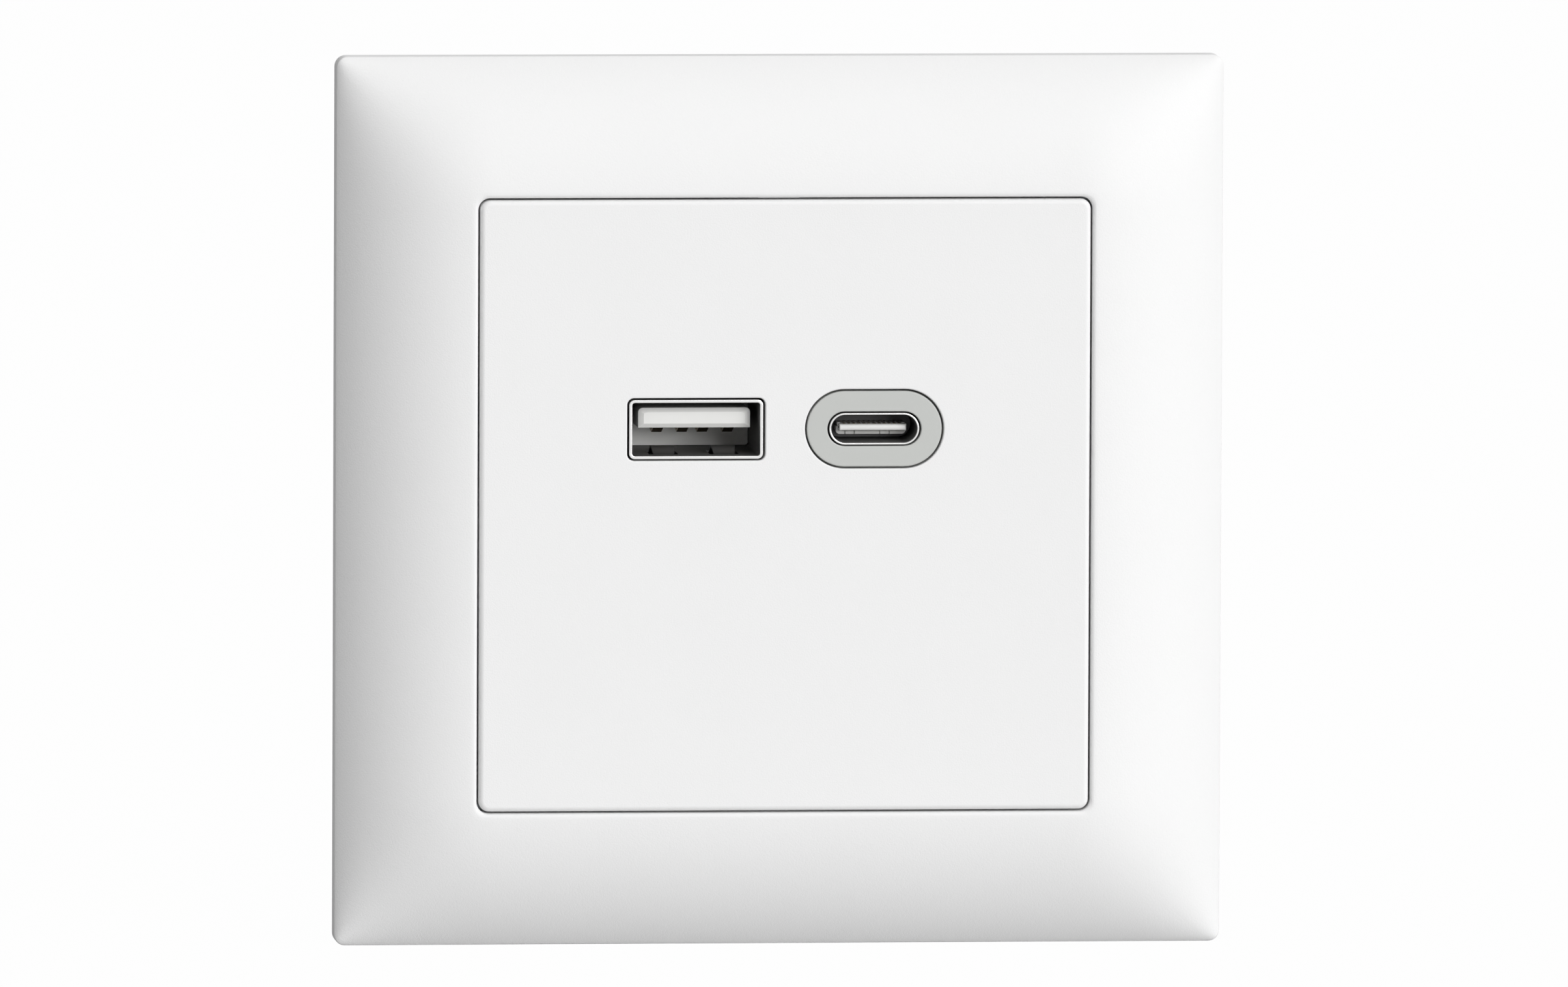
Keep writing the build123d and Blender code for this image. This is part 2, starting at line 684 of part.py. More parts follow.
def usb_c_insulator():
    """Moulded base, a low step and the thin tongue, with the plate and the contacts let into it."""
    tip = port_level - C_TONGUE_RECESS
    base_top = tip - C_TONGUE_LENGTH
    fit = 2 * PORT_FIT_GAP
    body = slab(SlotOverall(C_WIDTH - fit, C_HEIGHT - fit), board_front, base_top)
    step = RectangleRounded(C_STEP_WIDTH, C_STEP_THICKNESS, C_STEP_CORNER_RADIUS)
    body += slab(step, base_top, base_top + C_STEP_LENGTH)
    tongue = slab(Rectangle(C_TONGUE_WIDTH, C_TONGUE_THICKNESS), base_top, tip)
    body += chamfer(edges_at(tongue, tip), C_TONGUE_BEVEL)
    body -= c_mid_plate()
    latch = tip - C_CONTACT_SETBACK / 2 - C_LATCH_LENGTH
    for side in (-1, 1):
        edge = side * C_TONGUE_WIDTH / 2
        body -= block(
            (edge - C_LATCH_DEPTH, edge + C_LATCH_DEPTH),
            (-C_TONGUE_THICKNESS, C_TONGUE_THICKNESS),
            (latch - C_LATCH_LENGTH, latch),
        )
    for row in (c_contact_row(1), c_contact_row(-1)):
        for contact in row:
            body -= contact
    return c_place * body


def support_plate():
    """Steel plate on the wall box: a window for the module, box-screw slots and four bent-up lugs."""
    plate = slab(round_square(support_side, SUPPORT_CORNER_RADIUS), 0, SUPPORT_SHEET)
    through = (-OVERCUT, SUPPORT_SHEET + OVERCUT)
    plate -= slab(case_outline(-SUPPORT_WINDOW_GAP), *through)
    slot = slab(SlotOverall(BOX_SLOT_LENGTH, BOX_SLOT_WIDTH), *through)
    for turn in (0, 90, 180, 270):
        plate -= Rot(0, 0, turn) * Pos(BOX_SCREW_SPACING / 2, 0, 0) * slot
    hole = SCREW_DIAMETER / 2 + SCREW_HOLE_GAP
    for corner in corners(screw_half):
        plate -= corner * slab(Circle(hole), *through)
    face = support_side / 2
    half = LUG_WINDOW_WIDTH / 2
    for side in (-1, 1):
        for middle in (-LUG_OFFSET, LUG_OFFSET):
            lug = block(
                (side * face, side * (face - SUPPORT_SHEET)),
                (middle - LUG_WIDTH / 2, middle + LUG_WIDTH / 2),
                (0, lug_top),
            )
            lug -= block(
                (side * (face + OVERCUT), side * (face - SUPPORT_SHEET - OVERCUT)),
                (middle - half, middle + half),
                (window_floor, window_floor + LUG_WINDOW_HEIGHT),
            )
            plate += lug
    return plate


def module_screws():
    """Four pan-head screws with a cross recess."""
    shank = slab(Circle(SCREW_DIAMETER / 2), SCREW_TIP_GAP, flange_top)
    head_top = flange_top + SCREW_HEAD_HEIGHT
    head = slab(Circle(SCREW_HEAD_DIAMETER / 2), flange_top, head_top)
    head = fillet(edges_at(head, head_top), SCREW_HEAD_ROUND)
    reach = SCREW_RECESS_LENGTH / 2
    half = SCREW_RECESS_WIDTH / 2
    level = (head_top - SCREW_RECESS_DEPTH, head_top + OVERCUT)
    head -= block((-reach, reach), (-half, half), level) + block((-half, half), (-reach, reach), level)
    return Compound(children=[corner * (shank + head) for corner in corners(screw_half)])


def front_lid():
    """Lid welded on the front of the case, with an aperture for each port."""
    lid = slab(case_outline(0), housing_ceiling, housing_top)
    lid = fillet(edges_at(lid, housing_top), HOUSING_EDGE_RADIUS)
    gap = 2 * APERTURE_GAP
    a_hole = RectangleRounded(a_outer[0] + gap, a_outer[1] + gap, A_CORNER_RADIUS + APERTURE_GAP)
    c_hole = SlotOverall(c_outer[0] + gap, c_outer[1] + gap)
    through = (housing_ceiling - OVERCUT, housing_top + OVERCUT)
    lid -= a_place * slab(a_hole, *through)
    lid -= c_place * slab(c_hole, *through)
    for side in (-1, 1):
        for place in (-1, 1):
            lid -= leg_notch(side, place)
    return lid


def front_housing():
    """Front half of the case: a wall with a flange on the support plate, and ribs over the board."""
    case = slab(case_outline(0), housing_split, housing_ceiling)
    flange = round_square(flange_side, FLANGE_CORNER_RADIUS)
    head_room = Circle(BOX_SCREW_HEAD / 2 + BOX_SCREW_ROOM)
    for turn in (0, 90, 180, 270):
        flange -= Rot(0, 0, turn) * Pos(BOX_SCREW_SPACING / 2, 0) * head_room
    case += slab(flange, SUPPORT_SHEET, flange_top)
    case -= slab(case_outline(HOUSING_WALL), housing_split - OVERCUT, housing_ceiling + OVERCUT)
    for corner in corners(screw_half):
        case -= corner * slab(Circle(SCREW_DIAMETER / 2 + SCREW_HOLE_GAP), 0, flange_top + OVERCUT)
    inner = housing_half - HOUSING_WALL
    for side in (-1, 1):
        for place in (-1, 1):
            case -= leg_notch(side, place)
            middle = place * LEG_OFFSET
            case += block(
                (side * inner, side * (inner - RIB_DEPTH)),
                (middle - RIB_WIDTH / 2, middle + RIB_WIDTH / 2),
                (board_front, housing_ceiling),
            )
    for catch in catches(CATCH_GAP, HOUSING_WALL):
        case -= catch
    return case


def catches(gap, reach):
    """The eight catches of the rear half, two on each side, grown by a gap for their windows."""
    lip_face = housing_half - lip_inset
    half = CATCH_WIDTH / 2 + gap
    centre = board_back - CATCH_DROP
    level = (centre - CATCH_HEIGHT / 2 - gap, centre + CATCH_HEIGHT / 2 + gap)
    found = []
    for turn in (0, 90, 180, 270):
        for middle in (-CATCH_OFFSET, CATCH_OFFSET):
            catch = block((lip_face, lip_face + LIP_GAP + reach), (middle - half, middle + half), level)
            found.append(Rot(0, 0, turn) * catch)
    return found


def rear_housing():
    """Rear half of the case: a lip with catches that carries the board, and the terminal windows."""
    case = slab(case_outline(0), housing_back, housing_split)
    case = fillet(edges_at(case, housing_back), HOUSING_EDGE_RADIUS)
    case -= slab(case_outline(HOUSING_WALL), back_wall_inside, housing_split + OVERCUT)
    lip = case_outline(lip_inset) - case_outline(lip_inset + LIP_WALL)
    root = case_outline(HOUSING_WALL / 2) - case_outline(lip_inset + LIP_WALL)
    case += slab(root, lip_root_level, housing_split)
    case += slab(lip, housing_split, board_back)
    for catch in catches(0, CATCH_REACH):
        case += catch
    window = slab(terminal_nose(WINDOW_GAP), housing_back - OVERCUT, back_wall_inside + OVERCUT)
    for place in terminal_places.values():
        case -= place * window
    return case


def terminal_nose(gap):
    """The outline of the part of a terminal block that shows at the back."""
    inset = 2 * (TERMINAL_SHOULDER - gap)
    return Rectangle(TERMINAL_WIDTH - inset, TERMINAL_HEIGHT - inset)


def terminal_block(place):
    """Moulded block with two wire bores, a button channel and a chamber for bar and spring."""
    body = slab(Rectangle(TERMINAL_WIDTH, TERMINAL_HEIGHT), back_wall_inside, terminal_front)
    body += slab(terminal_nose(0), terminal_back, back_wall_inside)
    body -= slab(Rectangle(chamber_width, chamber_height), chamber_floor, terminal_front + OVERCUT)
    for x in (-WIRE_BORE_OFFSET, WIRE_BORE_OFFSET):
        bore = slab(Circle(WIRE_BORE / 2), terminal_back - OVERCUT, chamber_floor + OVERCUT)
        funnel = Pos(0, 0, terminal_back + WIRE_FUNNEL / 2) * Cone(
            WIRE_BORE / 2 + WIRE_FUNNEL, WIRE_BORE / 2, WIRE_FUNNEL
        )
        body -= Pos(x, -WIRE_BORE_DROP, 0) * (bore + funnel)
    gap = 2 * BUTTON_GAP
    narrow = Rectangle(BUTTON_WIDTH + gap, BUTTON_HEIGHT + gap)
    wide = Rectangle(BUTTON_WIDTH + 2 * BUTTON_SHOULDER + gap, BUTTON_HEIGHT + gap)
    ledge = terminal_back + BUTTON_SHOULDER_SETBACK
    body -= Pos(0, BUTTON_RAISE, 0) * slab(narrow, terminal_back - OVERCUT, ledge)
    body -= Pos(0, BUTTON_RAISE, 0) * slab(wide, ledge, chamber_floor + OVERCUT)
    return place * body


def release_button(place):
    """Push button with a screwdriver slot, and a shoulder that keeps it in its channel."""
    ledge = terminal_back + BUTTON_SHOULDER_SETBACK + BUTTON_GAP
    tip = spring_level - SPRING_TIP_GAP
    stem = slab(Rectangle(BUTTON_WIDTH, BUTTON_HEIGHT), button_end, tip)
    stem = chamfer(edges_at(stem, button_end), BUTTON_BEVEL)
    shoulder = Rectangle(BUTTON_WIDTH + 2 * BUTTON_SHOULDER, BUTTON_HEIGHT)
    stem += slab(shoulder, ledge, ledge + BUTTON_SHOULDER_LENGTH)
    slot = SlotOverall(BUTTON_SLOT_WIDTH, BUTTON_SLOT_HEIGHT)
    stem -= slab(slot, button_end - OVERCUT, button_end + BUTTON_SLOT_DEPTH)
    return place * Pos(0, BUTTON_RAISE, 0) * stem


def clamp_spring(place):
    """Leaf spring: a back on the chamber wall, a bend under the button and a leg to the bar."""
    ceiling = chamber_height / 2 - SPRING_SHEET / 2
    floor = -chamber_height / 2 + BAR_SHEET + SPRING_SHEET
    bend = spring_level + SPRING_SHEET / 2
    front = terminal_front - SPRING_SHEET
    with BuildSketch(Plane.YZ) as profile:
        with BuildLine():
            FilletPolyline(
                (floor + BAR_SHEET, front),
                (ceiling, front),
                (ceiling, bend),
                (BUTTON_RAISE - BUTTON_HEIGHT / 2, bend),
                (floor, bend + SPRING_RISE),
                radius=SPRING_BEND,
            )
        trace(line_width=SPRING_SHEET)
    return place * extrude(profile.sketch, SPRING_WIDTH / 2, both=True)


def bar_pins():
    """The two solder pins of a terminal bar: centre, width along X and along Y."""
    y = -chamber_height / 2 + BAR_SHEET / 2
    return [(x, y, BAR_PIN_WIDTH, BAR_SHEET) for x in (-BAR_PIN_SPACING / 2, BAR_PIN_SPACING / 2)]


def terminal_bar(place):
    """Brass bar along the chamber floor, with two pins that reach through the board."""
    floor = -chamber_height / 2
    half = SPRING_WIDTH / 2
    bar = block((-half, half), (floor, floor + BAR_SHEET), (chamber_floor + BAR_SETBACK, terminal_front))
    for x, y, wide, deep in bar_pins():
        bar += block(
            (x - wide / 2, x + wide / 2),
            (y - deep / 2, y + deep / 2),
            (terminal_front, lead_front),
        )
    return place * bar


def capacitor_place(column, row, diameter):
    """Places beside the transformer: column -1 is its left side, row 0 is the upper one."""
    x = column * (TRANSFORMER_WIDTH / 2 + PART_GAP + diameter / 2)
    pitch = max(INPUT_CAP_DIAMETER, OUTPUT_CAP_DIAMETER)
    return Pos(x, cap_row_top - pitch * (row + 0.5) - PART_GAP * row, 0)


def lead_pair():
    """Where the two wire leads of a leaded part stand."""
    return [Pos(-LEAD_SPACING / 2, 0, 0), Pos(LEAD_SPACING / 2, 0, 0)]


def leads(top):
    """Two wire leads from a level behind the board to just short of its front."""
    wire = slab(Circle(LEAD_DIAMETER / 2), top, lead_front)
    return [place * wire for place in lead_pair()]


def radial_capacitor(diameter, length):
    """Can with a crimp groove, standing on the back of the board on two leads."""
    can = slab(Circle(diameter / 2), board_back - length, board_back)
    can = fillet(edges_at(can, board_back - length), CAP_GROOVE)
    groove = board_back - CAP_GROOVE_LEVEL
    ring = Circle(diameter) - Circle(diameter / 2 - CAP_GROOVE)
    can -= slab(ring, groove - CAP_GROOVE, groove + CAP_GROOVE)
    for lead in leads(board_back):
        can += lead
    return can


def disc_part():
    """Coated disc standing on edge on two leads."""
    centre = board_back - DISC_STANDOFF - DISC_DIAMETER / 2
    disc = Pos(0, 0, centre) * Rot(90, 0, 0) * Cylinder(DISC_DIAMETER / 2, DISC_THICKNESS)
    disc = fillet(disc.edges().filter_by(GeomType.CIRCLE), DISC_ROUND)
    for lead in leads(centre):
        disc += lead
    return disc


def row_places():
    """The row between transformer and terminals, spaced by the parts' own widths."""
    x = -row_width / 2
    places = {}
    for name, width in row_widths.items():
        places[name] = Pos(x + width / 2, row_y, 0)
        x += width + PART_GAP
    return places


def input_fuse():
    far = board_back - FUSE_DEPTH
    body = slab(RectangleRounded(FUSE_WIDTH, FUSE_THICKNESS, FUSE_CORNER_RADIUS), far, board_back)
    body = fillet(edges_at(body, far), FUSE_EDGE_RADIUS)
    for lead in leads(board_back):
        body += lead
    return row_places()["fuse"] * body


def filter_choke_core():
    """Ferrite drum with two rims, on two leads."""
    far = board_back - CHOKE_LENGTH
    core = slab(Circle(CHOKE_NECK / 2), far, board_back)
    core += slab(Circle(CHOKE_DIAMETER / 2), far, far + CHOKE_RIM)
    core += slab(Circle(CHOKE_DIAMETER / 2), board_back - CHOKE_RIM, board_back)
    for lead in leads(board_back):
        core += lead
    return row_places()["choke"] * core


def filter_choke_winding():
    """Copper turns between the rims of the drum."""
    turns = Circle(CHOKE_DIAMETER / 2 - CAP_GROOVE) - Circle(CHOKE_NECK / 2)
    return row_places()["choke"] * slab(
        turns, board_back - CHOKE_LENGTH + CHOKE_RIM, board_back - CHOKE_RIM
    )


def transformer_levels():
    """The levels of the transformer's front and back, behind the board."""
    front = board_back - BOBBIN_BASE
    return front - TRANSFORMER_DEPTH + BOBBIN_BASE, front


def transformer_core():
    """Two E-shaped ferrite halves, drawn as the closed core that they make."""
    back, front = transformer_levels()
    half = TRANSFORMER_WIDTH / 2
    core = block((-half, half), (-CORE_THICKNESS / 2, CORE_THICKNESS / 2), (back, front))
    window = half - CORE_LIMB / 2
    for side in (-1, 1):
        core -= block(
            (side * CORE_LIMB / 2, side * window),
            (-CORE_THICKNESS, CORE_THICKNESS),
            (back + CORE_LIMB / 2, front - CORE_LIMB / 2),
        )
    return Pos(0, transformer_y, 0) * core


def bobbin_outline():
    """The part of the core's window that the bobbin's flanges fill, seen along Z."""
    wide = TRANSFORMER_WIDTH - CORE_LIMB - 2 * LEAD_GAP
    return Rectangle(wide, TRANSFORMER_HEIGHT)


def transformer_bobbin():
    """Moulded coil former on the middle limb, with a pin base on the board."""
    back, front = transformer_levels()
    low = back + CORE_LIMB / 2 + LEAD_GAP
    high = front - CORE_LIMB / 2 - LEAD_GAP
    limb = Rectangle(CORE_LIMB + 2 * LEAD_GAP, CORE_THICKNESS + 2 * LEAD_GAP)
    wall = 2 * (LEAD_GAP + BOBBIN_TUBE)
    tube = Rectangle(CORE_LIMB + wall, CORE_THICKNESS + wall)
    bobbin = slab(bobbin_outline(), low, low + BOBBIN_FLANGE)
    bobbin += slab(bobbin_outline(), high - BOBBIN_FLANGE, high)
    bobbin += slab(tube, low, high)
    bobbin -= slab(limb, low - OVERCUT, high + OVERCUT)
    foot_low = CORE_THICKNESS / 2 + LEAD_GAP
    half = TRANSFORMER_WIDTH / 2 - CORE_LIMB
    for side in (-1, 1):
        depth = (high - BOBBIN_FLANGE, board_back)
        foot = block((-half, half), (side * foot_low, side * TRANSFORMER_HEIGHT / 2), depth)
        for x in (-LEAD_SPACING, 0, LEAD_SPACING):
            pin = slab(Circle(LEAD_DIAMETER / 2), board_back, lead_front)
            foot += Pos(x, side * bobbin_pin_y(), 0) * pin
        bobbin += foot
    return Pos(0, transformer_y, 0) * bobbin


def bobbin_pin_y():
    """The pins' distance from the transformer's middle."""
    return TRANSFORMER_HEIGHT / 2 - TRANSFORMER_PIN_INSET


def transformer_winding():
    """The taped winding, round the bobbin's tube and between its flanges."""
    back, front = transformer_levels()
    low = back + CORE_LIMB / 2 + LEAD_GAP + BOBBIN_FLANGE
    high = front - CORE_LIMB / 2 - LEAD_GAP - BOBBIN_FLANGE
    wall = 2 * (LEAD_GAP + BOBBIN_TUBE)
    tube = Rectangle(CORE_LIMB + wall, CORE_THICKNESS + wall)
    wide = TRANSFORMER_WIDTH - CORE_LIMB - 4 * LEAD_GAP
    coil = RectangleRounded(wide, TRANSFORMER_HEIGHT - 2 * BOBBIN_TUBE, BOBBIN_FLANGE)
    return Pos(0, transformer_y, 0) * slab(coil - tube, low, high)


def package(body_size, behind, lead_count=PACKAGE_LEADS):
    """Flat chip package with gull-wing leads on two sides, on the back or the front of the board."""
    width, height, depth = body_size
    way = -1 if behind else 1
    seat = board_back if behind else board_front
    lift = PACKAGE_LEAD_SHEET / 2
    body = block(
        (-width / 2, width / 2), (-height / 2, height / 2), (seat + way * lift, seat + way * depth)
    )
    body = chamfer(edges_at(body, seat + way * depth), PACKAGE_BEVEL)
    pitch = height / lead_count
    for index in range(lead_count):
        y = (index - (lead_count - 1) / 2) * pitch
        reach = width / 2 + PACKAGE_LEAD_SPAN
        body += block(
            (-reach, reach),
            (y - PACKAGE_LEAD_WIDTH / 2, y + PACKAGE_LEAD_WIDTH / 2),
            (seat, seat + way * PACKAGE_LEAD_SHEET),
        )
    return body


def chip_capacitors():
    """A row of small ceramic parts on the front of the board, under the ports."""
    width, height, depth = CHIP_BODY
    y = PORT_RAISE - a_outer[1] / 2 - CHIP_DROP
    row = []
    for index in range(CHIP_COUNT):
        x = (index - (CHIP_COUNT - 1) / 2) * CHIP_PITCH
        body = slab(RectangleRounded(width, height, CHIP_CORNER_RADIUS), board_front, board_front + depth)
        row.append(Pos(x, y, 0) * body)
    return Compound(children=row)


def board_holes():
    """Everything that passes through the board, with its clearance."""
    through = (board_back - OVERCUT, board_front + OVERCUT)
    contact_y = a_tongue_levels()[0] + A_CONTACT_SHEET / 2
    contact_tails = [(x, contact_y, A_CONTACT_WIDTH, A_CONTACT_SHEET) for x in contact_places()]
    holes = [a_place * pin for pin in flat_pins(a_legs() + contact_tails, LEAD_GAP, *through)]
    holes += [c_place * pin for pin in flat_pins(c_legs(), LEAD_GAP, *through)]
    for place in terminal_places.values():
        holes += [place * pin for pin in flat_pins(bar_pins(), LEAD_GAP, *through)]
    drill = slab(Circle(LEAD_DIAMETER / 2 + LEAD_GAP), *through)
    leaded = [row_places()[name] for name in ("fuse", "varistor", "choke", "safety")]
    for row in (0, 1):
        leaded.append(capacitor_place(-1, row, INPUT_CAP_DIAMETER))
        leaded.append(capacitor_place(1, row, OUTPUT_CAP_DIAMETER))
    holes += [place * lead * drill for place in leaded for lead in lead_pair()]
    for side in (-1, 1):
        for x in (-LEAD_SPACING, 0, LEAD_SPACING):
            holes.append(Pos(x, transformer_y + side * bobbin_pin_y(), 0) * drill)
    return holes


def main_board():
    """Circuit board with the case's outline, drilled for every lead."""
    board = slab(case_outline(HOUSING_WALL + BOARD_GAP), board_back, board_front)
    for hole in board_holes():
        board -= hole
    return board


def board_parts():
    """The parts that stand on the board, by name."""
    row = row_places()
    upper = Pos(0, terminal_y + TERMINAL_HEIGHT / 4, 0)
    lower = Pos(0, terminal_y - TERMINAL_HEIGHT / 4, 0)
    parts = {
        "input_fuse": input_fuse(),
        "surge_varistor": row["varistor"] * disc_part(),
        "filter_choke_core": filter_choke_core(),
        "filter_choke_winding": filter_choke_winding(),
        "optocoupler": row["opto"] * package(OPTO_BODY, True, 2),
        "safety_capacitor": row["safety"] * disc_part(),
        "bridge_rectifier": upper * package(BRIDGE_BODY, True, 2),
        "primary_controller": lower * package(CONTROLLER_BODY, True),
        "sync_rectifier": Pos(PORT_SPACING / 2, front_chips_y, 0) * package(CONTROLLER_BODY, False),
        "port_controller": Pos(0, front_chips_y, 0) * package(PORT_CHIP_BODY, False),
        "output_inductor": Pos(-PORT_SPACING / 2, front_chips_y, 0) * package(INDUCTOR_BODY, False, 1),
        "chip_capacitors": chip_capacitors(),
        "transformer_core": transformer_core(),
        "transformer_bobbin": transformer_bobbin(),
        "transformer_winding": transformer_winding(),
    }
    for index in (0, 1):
        left = capacitor_place(-1, index, INPUT_CAP_DIAMETER)
        right = capacitor_place(1, index, OUTPUT_CAP_DIAMETER)
        tall = radial_capacitor(INPUT_CAP_DIAMETER, INPUT_CAP_LENGTH)
        short = radial_capacitor(OUTPUT_CAP_DIAMETER, OUTPUT_CAP_LENGTH)
        parts[f"input_capacitor_{index + 1}"] = left * tall
        parts[f"output_capacitor_{index + 1}"] = right * short
    return parts


def all_parts():
    parts = {
        "cover_frame": cover_frame(),
        "front_plate": front_plate(),
        "plate_carrier": plate_carrier(),
        "usb_c_collar": usb_c_collar(),
        "usb_a_shell": usb_a_shell(),
        "usb_a_insulator": usb_a_insulator(),
        "usb_c_shell": usb_c_shell(),
        "usb_c_insulator": usb_c_insulator(),
        "usb_c_mid_plate": usb_c_mid_plate(),
        "usb_c_contacts_upper": usb_c_contacts(1),
        "usb_c_contacts_lower": usb_c_contacts(-1),
        "support_plate": support_plate(),
        "module_screws": module_screws(),
        "front_lid": front_lid(),
        "front_housing": front_housing(),
        "rear_housing": rear_housing(),
        "main_board": main_board(),
    }
    for number, x in enumerate(contact_places(), 1):
        parts[f"usb_a_contact_{number}"] = usb_a_contact(x)
    for pole, place in terminal_places.items():
        parts[f"terminal_block_{pole}"] = terminal_block(place)
        parts[f"terminal_bar_{pole}"] = terminal_bar(place)
        parts[f"clamp_spring_{pole}"] = clamp_spring(place)
        parts[f"release_button_{pole}"] = release_button(place)
    parts.update(board_parts())
    return parts


os.makedirs("parts", exist_ok=True)
stand_up = Rot(90, 0, 0)
for name, part in all_parts().items():
    export_step(stand_up * part, f"parts/{name}.step")
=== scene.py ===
"""Charging socket for a wall box: the finished pieces, their materials, the studio and the camera."""

from math import cos, pi, radians, sin, sqrt

import bmesh
import bpy
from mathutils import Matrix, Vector


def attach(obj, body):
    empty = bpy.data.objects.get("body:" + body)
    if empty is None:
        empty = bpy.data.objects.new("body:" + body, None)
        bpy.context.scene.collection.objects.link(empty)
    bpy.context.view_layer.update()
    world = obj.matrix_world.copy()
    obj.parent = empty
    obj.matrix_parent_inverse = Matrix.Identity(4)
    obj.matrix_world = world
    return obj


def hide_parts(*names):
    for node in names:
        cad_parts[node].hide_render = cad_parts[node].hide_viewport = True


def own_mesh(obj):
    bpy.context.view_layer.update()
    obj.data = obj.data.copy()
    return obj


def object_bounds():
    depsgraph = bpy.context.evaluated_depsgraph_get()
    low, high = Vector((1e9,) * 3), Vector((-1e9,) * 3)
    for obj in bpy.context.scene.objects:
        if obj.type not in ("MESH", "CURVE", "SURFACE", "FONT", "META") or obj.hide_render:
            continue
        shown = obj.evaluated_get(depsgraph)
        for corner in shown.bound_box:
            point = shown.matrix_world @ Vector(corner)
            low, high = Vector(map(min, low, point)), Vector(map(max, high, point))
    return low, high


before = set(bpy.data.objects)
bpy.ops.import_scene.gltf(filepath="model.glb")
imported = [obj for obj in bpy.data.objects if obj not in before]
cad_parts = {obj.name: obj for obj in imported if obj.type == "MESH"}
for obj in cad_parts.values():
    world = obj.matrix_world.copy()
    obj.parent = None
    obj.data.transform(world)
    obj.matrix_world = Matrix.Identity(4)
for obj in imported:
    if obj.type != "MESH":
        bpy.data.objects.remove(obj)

MM = 0.001
cad_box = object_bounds()


# Materials


def linear(hex_colour):
    """An sRGB hex colour as the linear colour that a shader takes."""
    parts = [int(hex_colour[place : place + 2], 16) / 255 for place in (1, 3, 5)]
    return [part / 12.92 if part <= 0.04045 else ((part + 0.055) / 1.055) ** 2.4 for part in parts] + [1]


def add_node(tree, kind, inputs=None, **settings):
    """Adds one node: settings are its own fields, inputs are values or links for its sockets."""
    node = tree.nodes.new("ShaderNode" + kind)
    for field, value in settings.items():
        setattr(node, field, value)
    for socket, value in (inputs or {}).items():
        if isinstance(value, bpy.types.NodeSocket):
            tree.links.new(value, node.inputs[socket])
        else:
            node.inputs[socket].default_value = value
    return node


def empty_tree(owner):
    """The node tree of a material or a world, with nothing in it."""
    owner.use_nodes = True
    owner.node_tree.nodes.clear()
    return owner.node_tree


def start_material(name, colour, roughness, **sockets):
    """A material with one principled shader whose plain sockets are set, and its Object coordinates."""
    material = bpy.data.materials.new(name)
    tree = empty_tree(material)
    plain = {"Base Color": linear(colour), "Roughness": roughness}
    plain.update({socket.replace("_", " "): value for socket, value in sockets.items()})
    shader = add_node(tree, "BsdfPrincipled", plain)
    add_node(tree, "OutputMaterial", {"Surface": shader.outputs["BSDF"]})
    place = add_node(tree, "TexCoord").outputs["Object"]
    return material, tree, shader, place


def noise(tree, place, size, **inputs):
    """Noise with lumps of one size in millimetres."""
    inputs.update({"Vector": place, "Scale": 1 / (size * MM)})
    return add_node(tree, "TexNoise", inputs).outputs["Fac"]


# Length of one wave in the wave texture's own units
WAVE = 2 * pi / 20


def bands(tree, place, pitch, axis, **inputs):
    """Round bands side by side along one axis, with a pitch in millimetres."""
    inputs.update({"Vector": place, "Scale": WAVE / (pitch * MM)})
    return add_node(tree, "TexWave", inputs, bands_direction=axis).outputs["Fac"]


def blend(tree, share, *tones):
    """A share of the way from one tone to another, each a hex colour or a link."""
    first, second = (linear(tone) if isinstance(tone, str) else tone for tone in tones)
    return add_node(tree, "Mix", {0: share, 6: first, 7: second}, data_type="RGBA").outputs[2]


def between(tree, share, ends):
    """A share of the way from one value to another."""
    return add_node(tree, "MapRange", {"Value": share, "To Min": ends[0], "To Max": ends[1]}).outputs[0]


def give_surface(tree, shader, tone, height, relief, dullness=None):
    """Links a pattern to the shader: its tones, its height in millimetres and, if it varies, its gloss."""
    bump = add_node(tree, "Bump", {"Height": height, "Strength": 1.0, "Distance": relief * MM})
    tree.links.new(tone, shader.inputs["Base Color"])
    tree.links.new(bump.outputs["Normal"], shader.inputs["Normal"])
    if dullness is not None:
        tree.links.new(dullness, shader.inputs["Roughness"])


def moulded(name, light, dark, gloss, grain, relief, flow=9.0, base=None, **sockets):
    """A moulded plastic: the mould's grain in its skin, and faint flow marks in its tone and gloss.

    Grain, relief and flow are in millimetres; gloss is the roughness at its smoothest and its dullest.
    Base, if given, is a dark colour painted as shade deep in a port, and how far out of the wall it
    reaches.
    """
    material, tree, shader, place = start_material(name, light, gloss[0], **sockets)
    marks = noise(tree, place, flow, Detail=3.0)
    tone = blend(tree, marks, light, dark)
    # Painted shade: deeper than the given level the plastic takes the dark base colour, as shade in the
    # port
    if base:
        out = add_node(tree, "SeparateXYZ", {0: place}).outputs["Y"]
        first = add_node(tree, "Math", {0: out, 1: -base[1] * MM}, operation="GREATER_THAN")
        tone = blend(tree, first.outputs[0], tone, base[0])
    skin = noise(tree, place, grain, Detail=2.0, Roughness=0.55)
    give_surface(tree, shader, tone, skin, relief, between(tree, marks, gloss))
    return material


# Levels out of the wall between which a port's shell goes from its bright tone to painted shade, and
# duller
SHADE_AND_DULL_LEVELS = (8.8, 8.4)
INSIDE_DULLNESS = 0.4


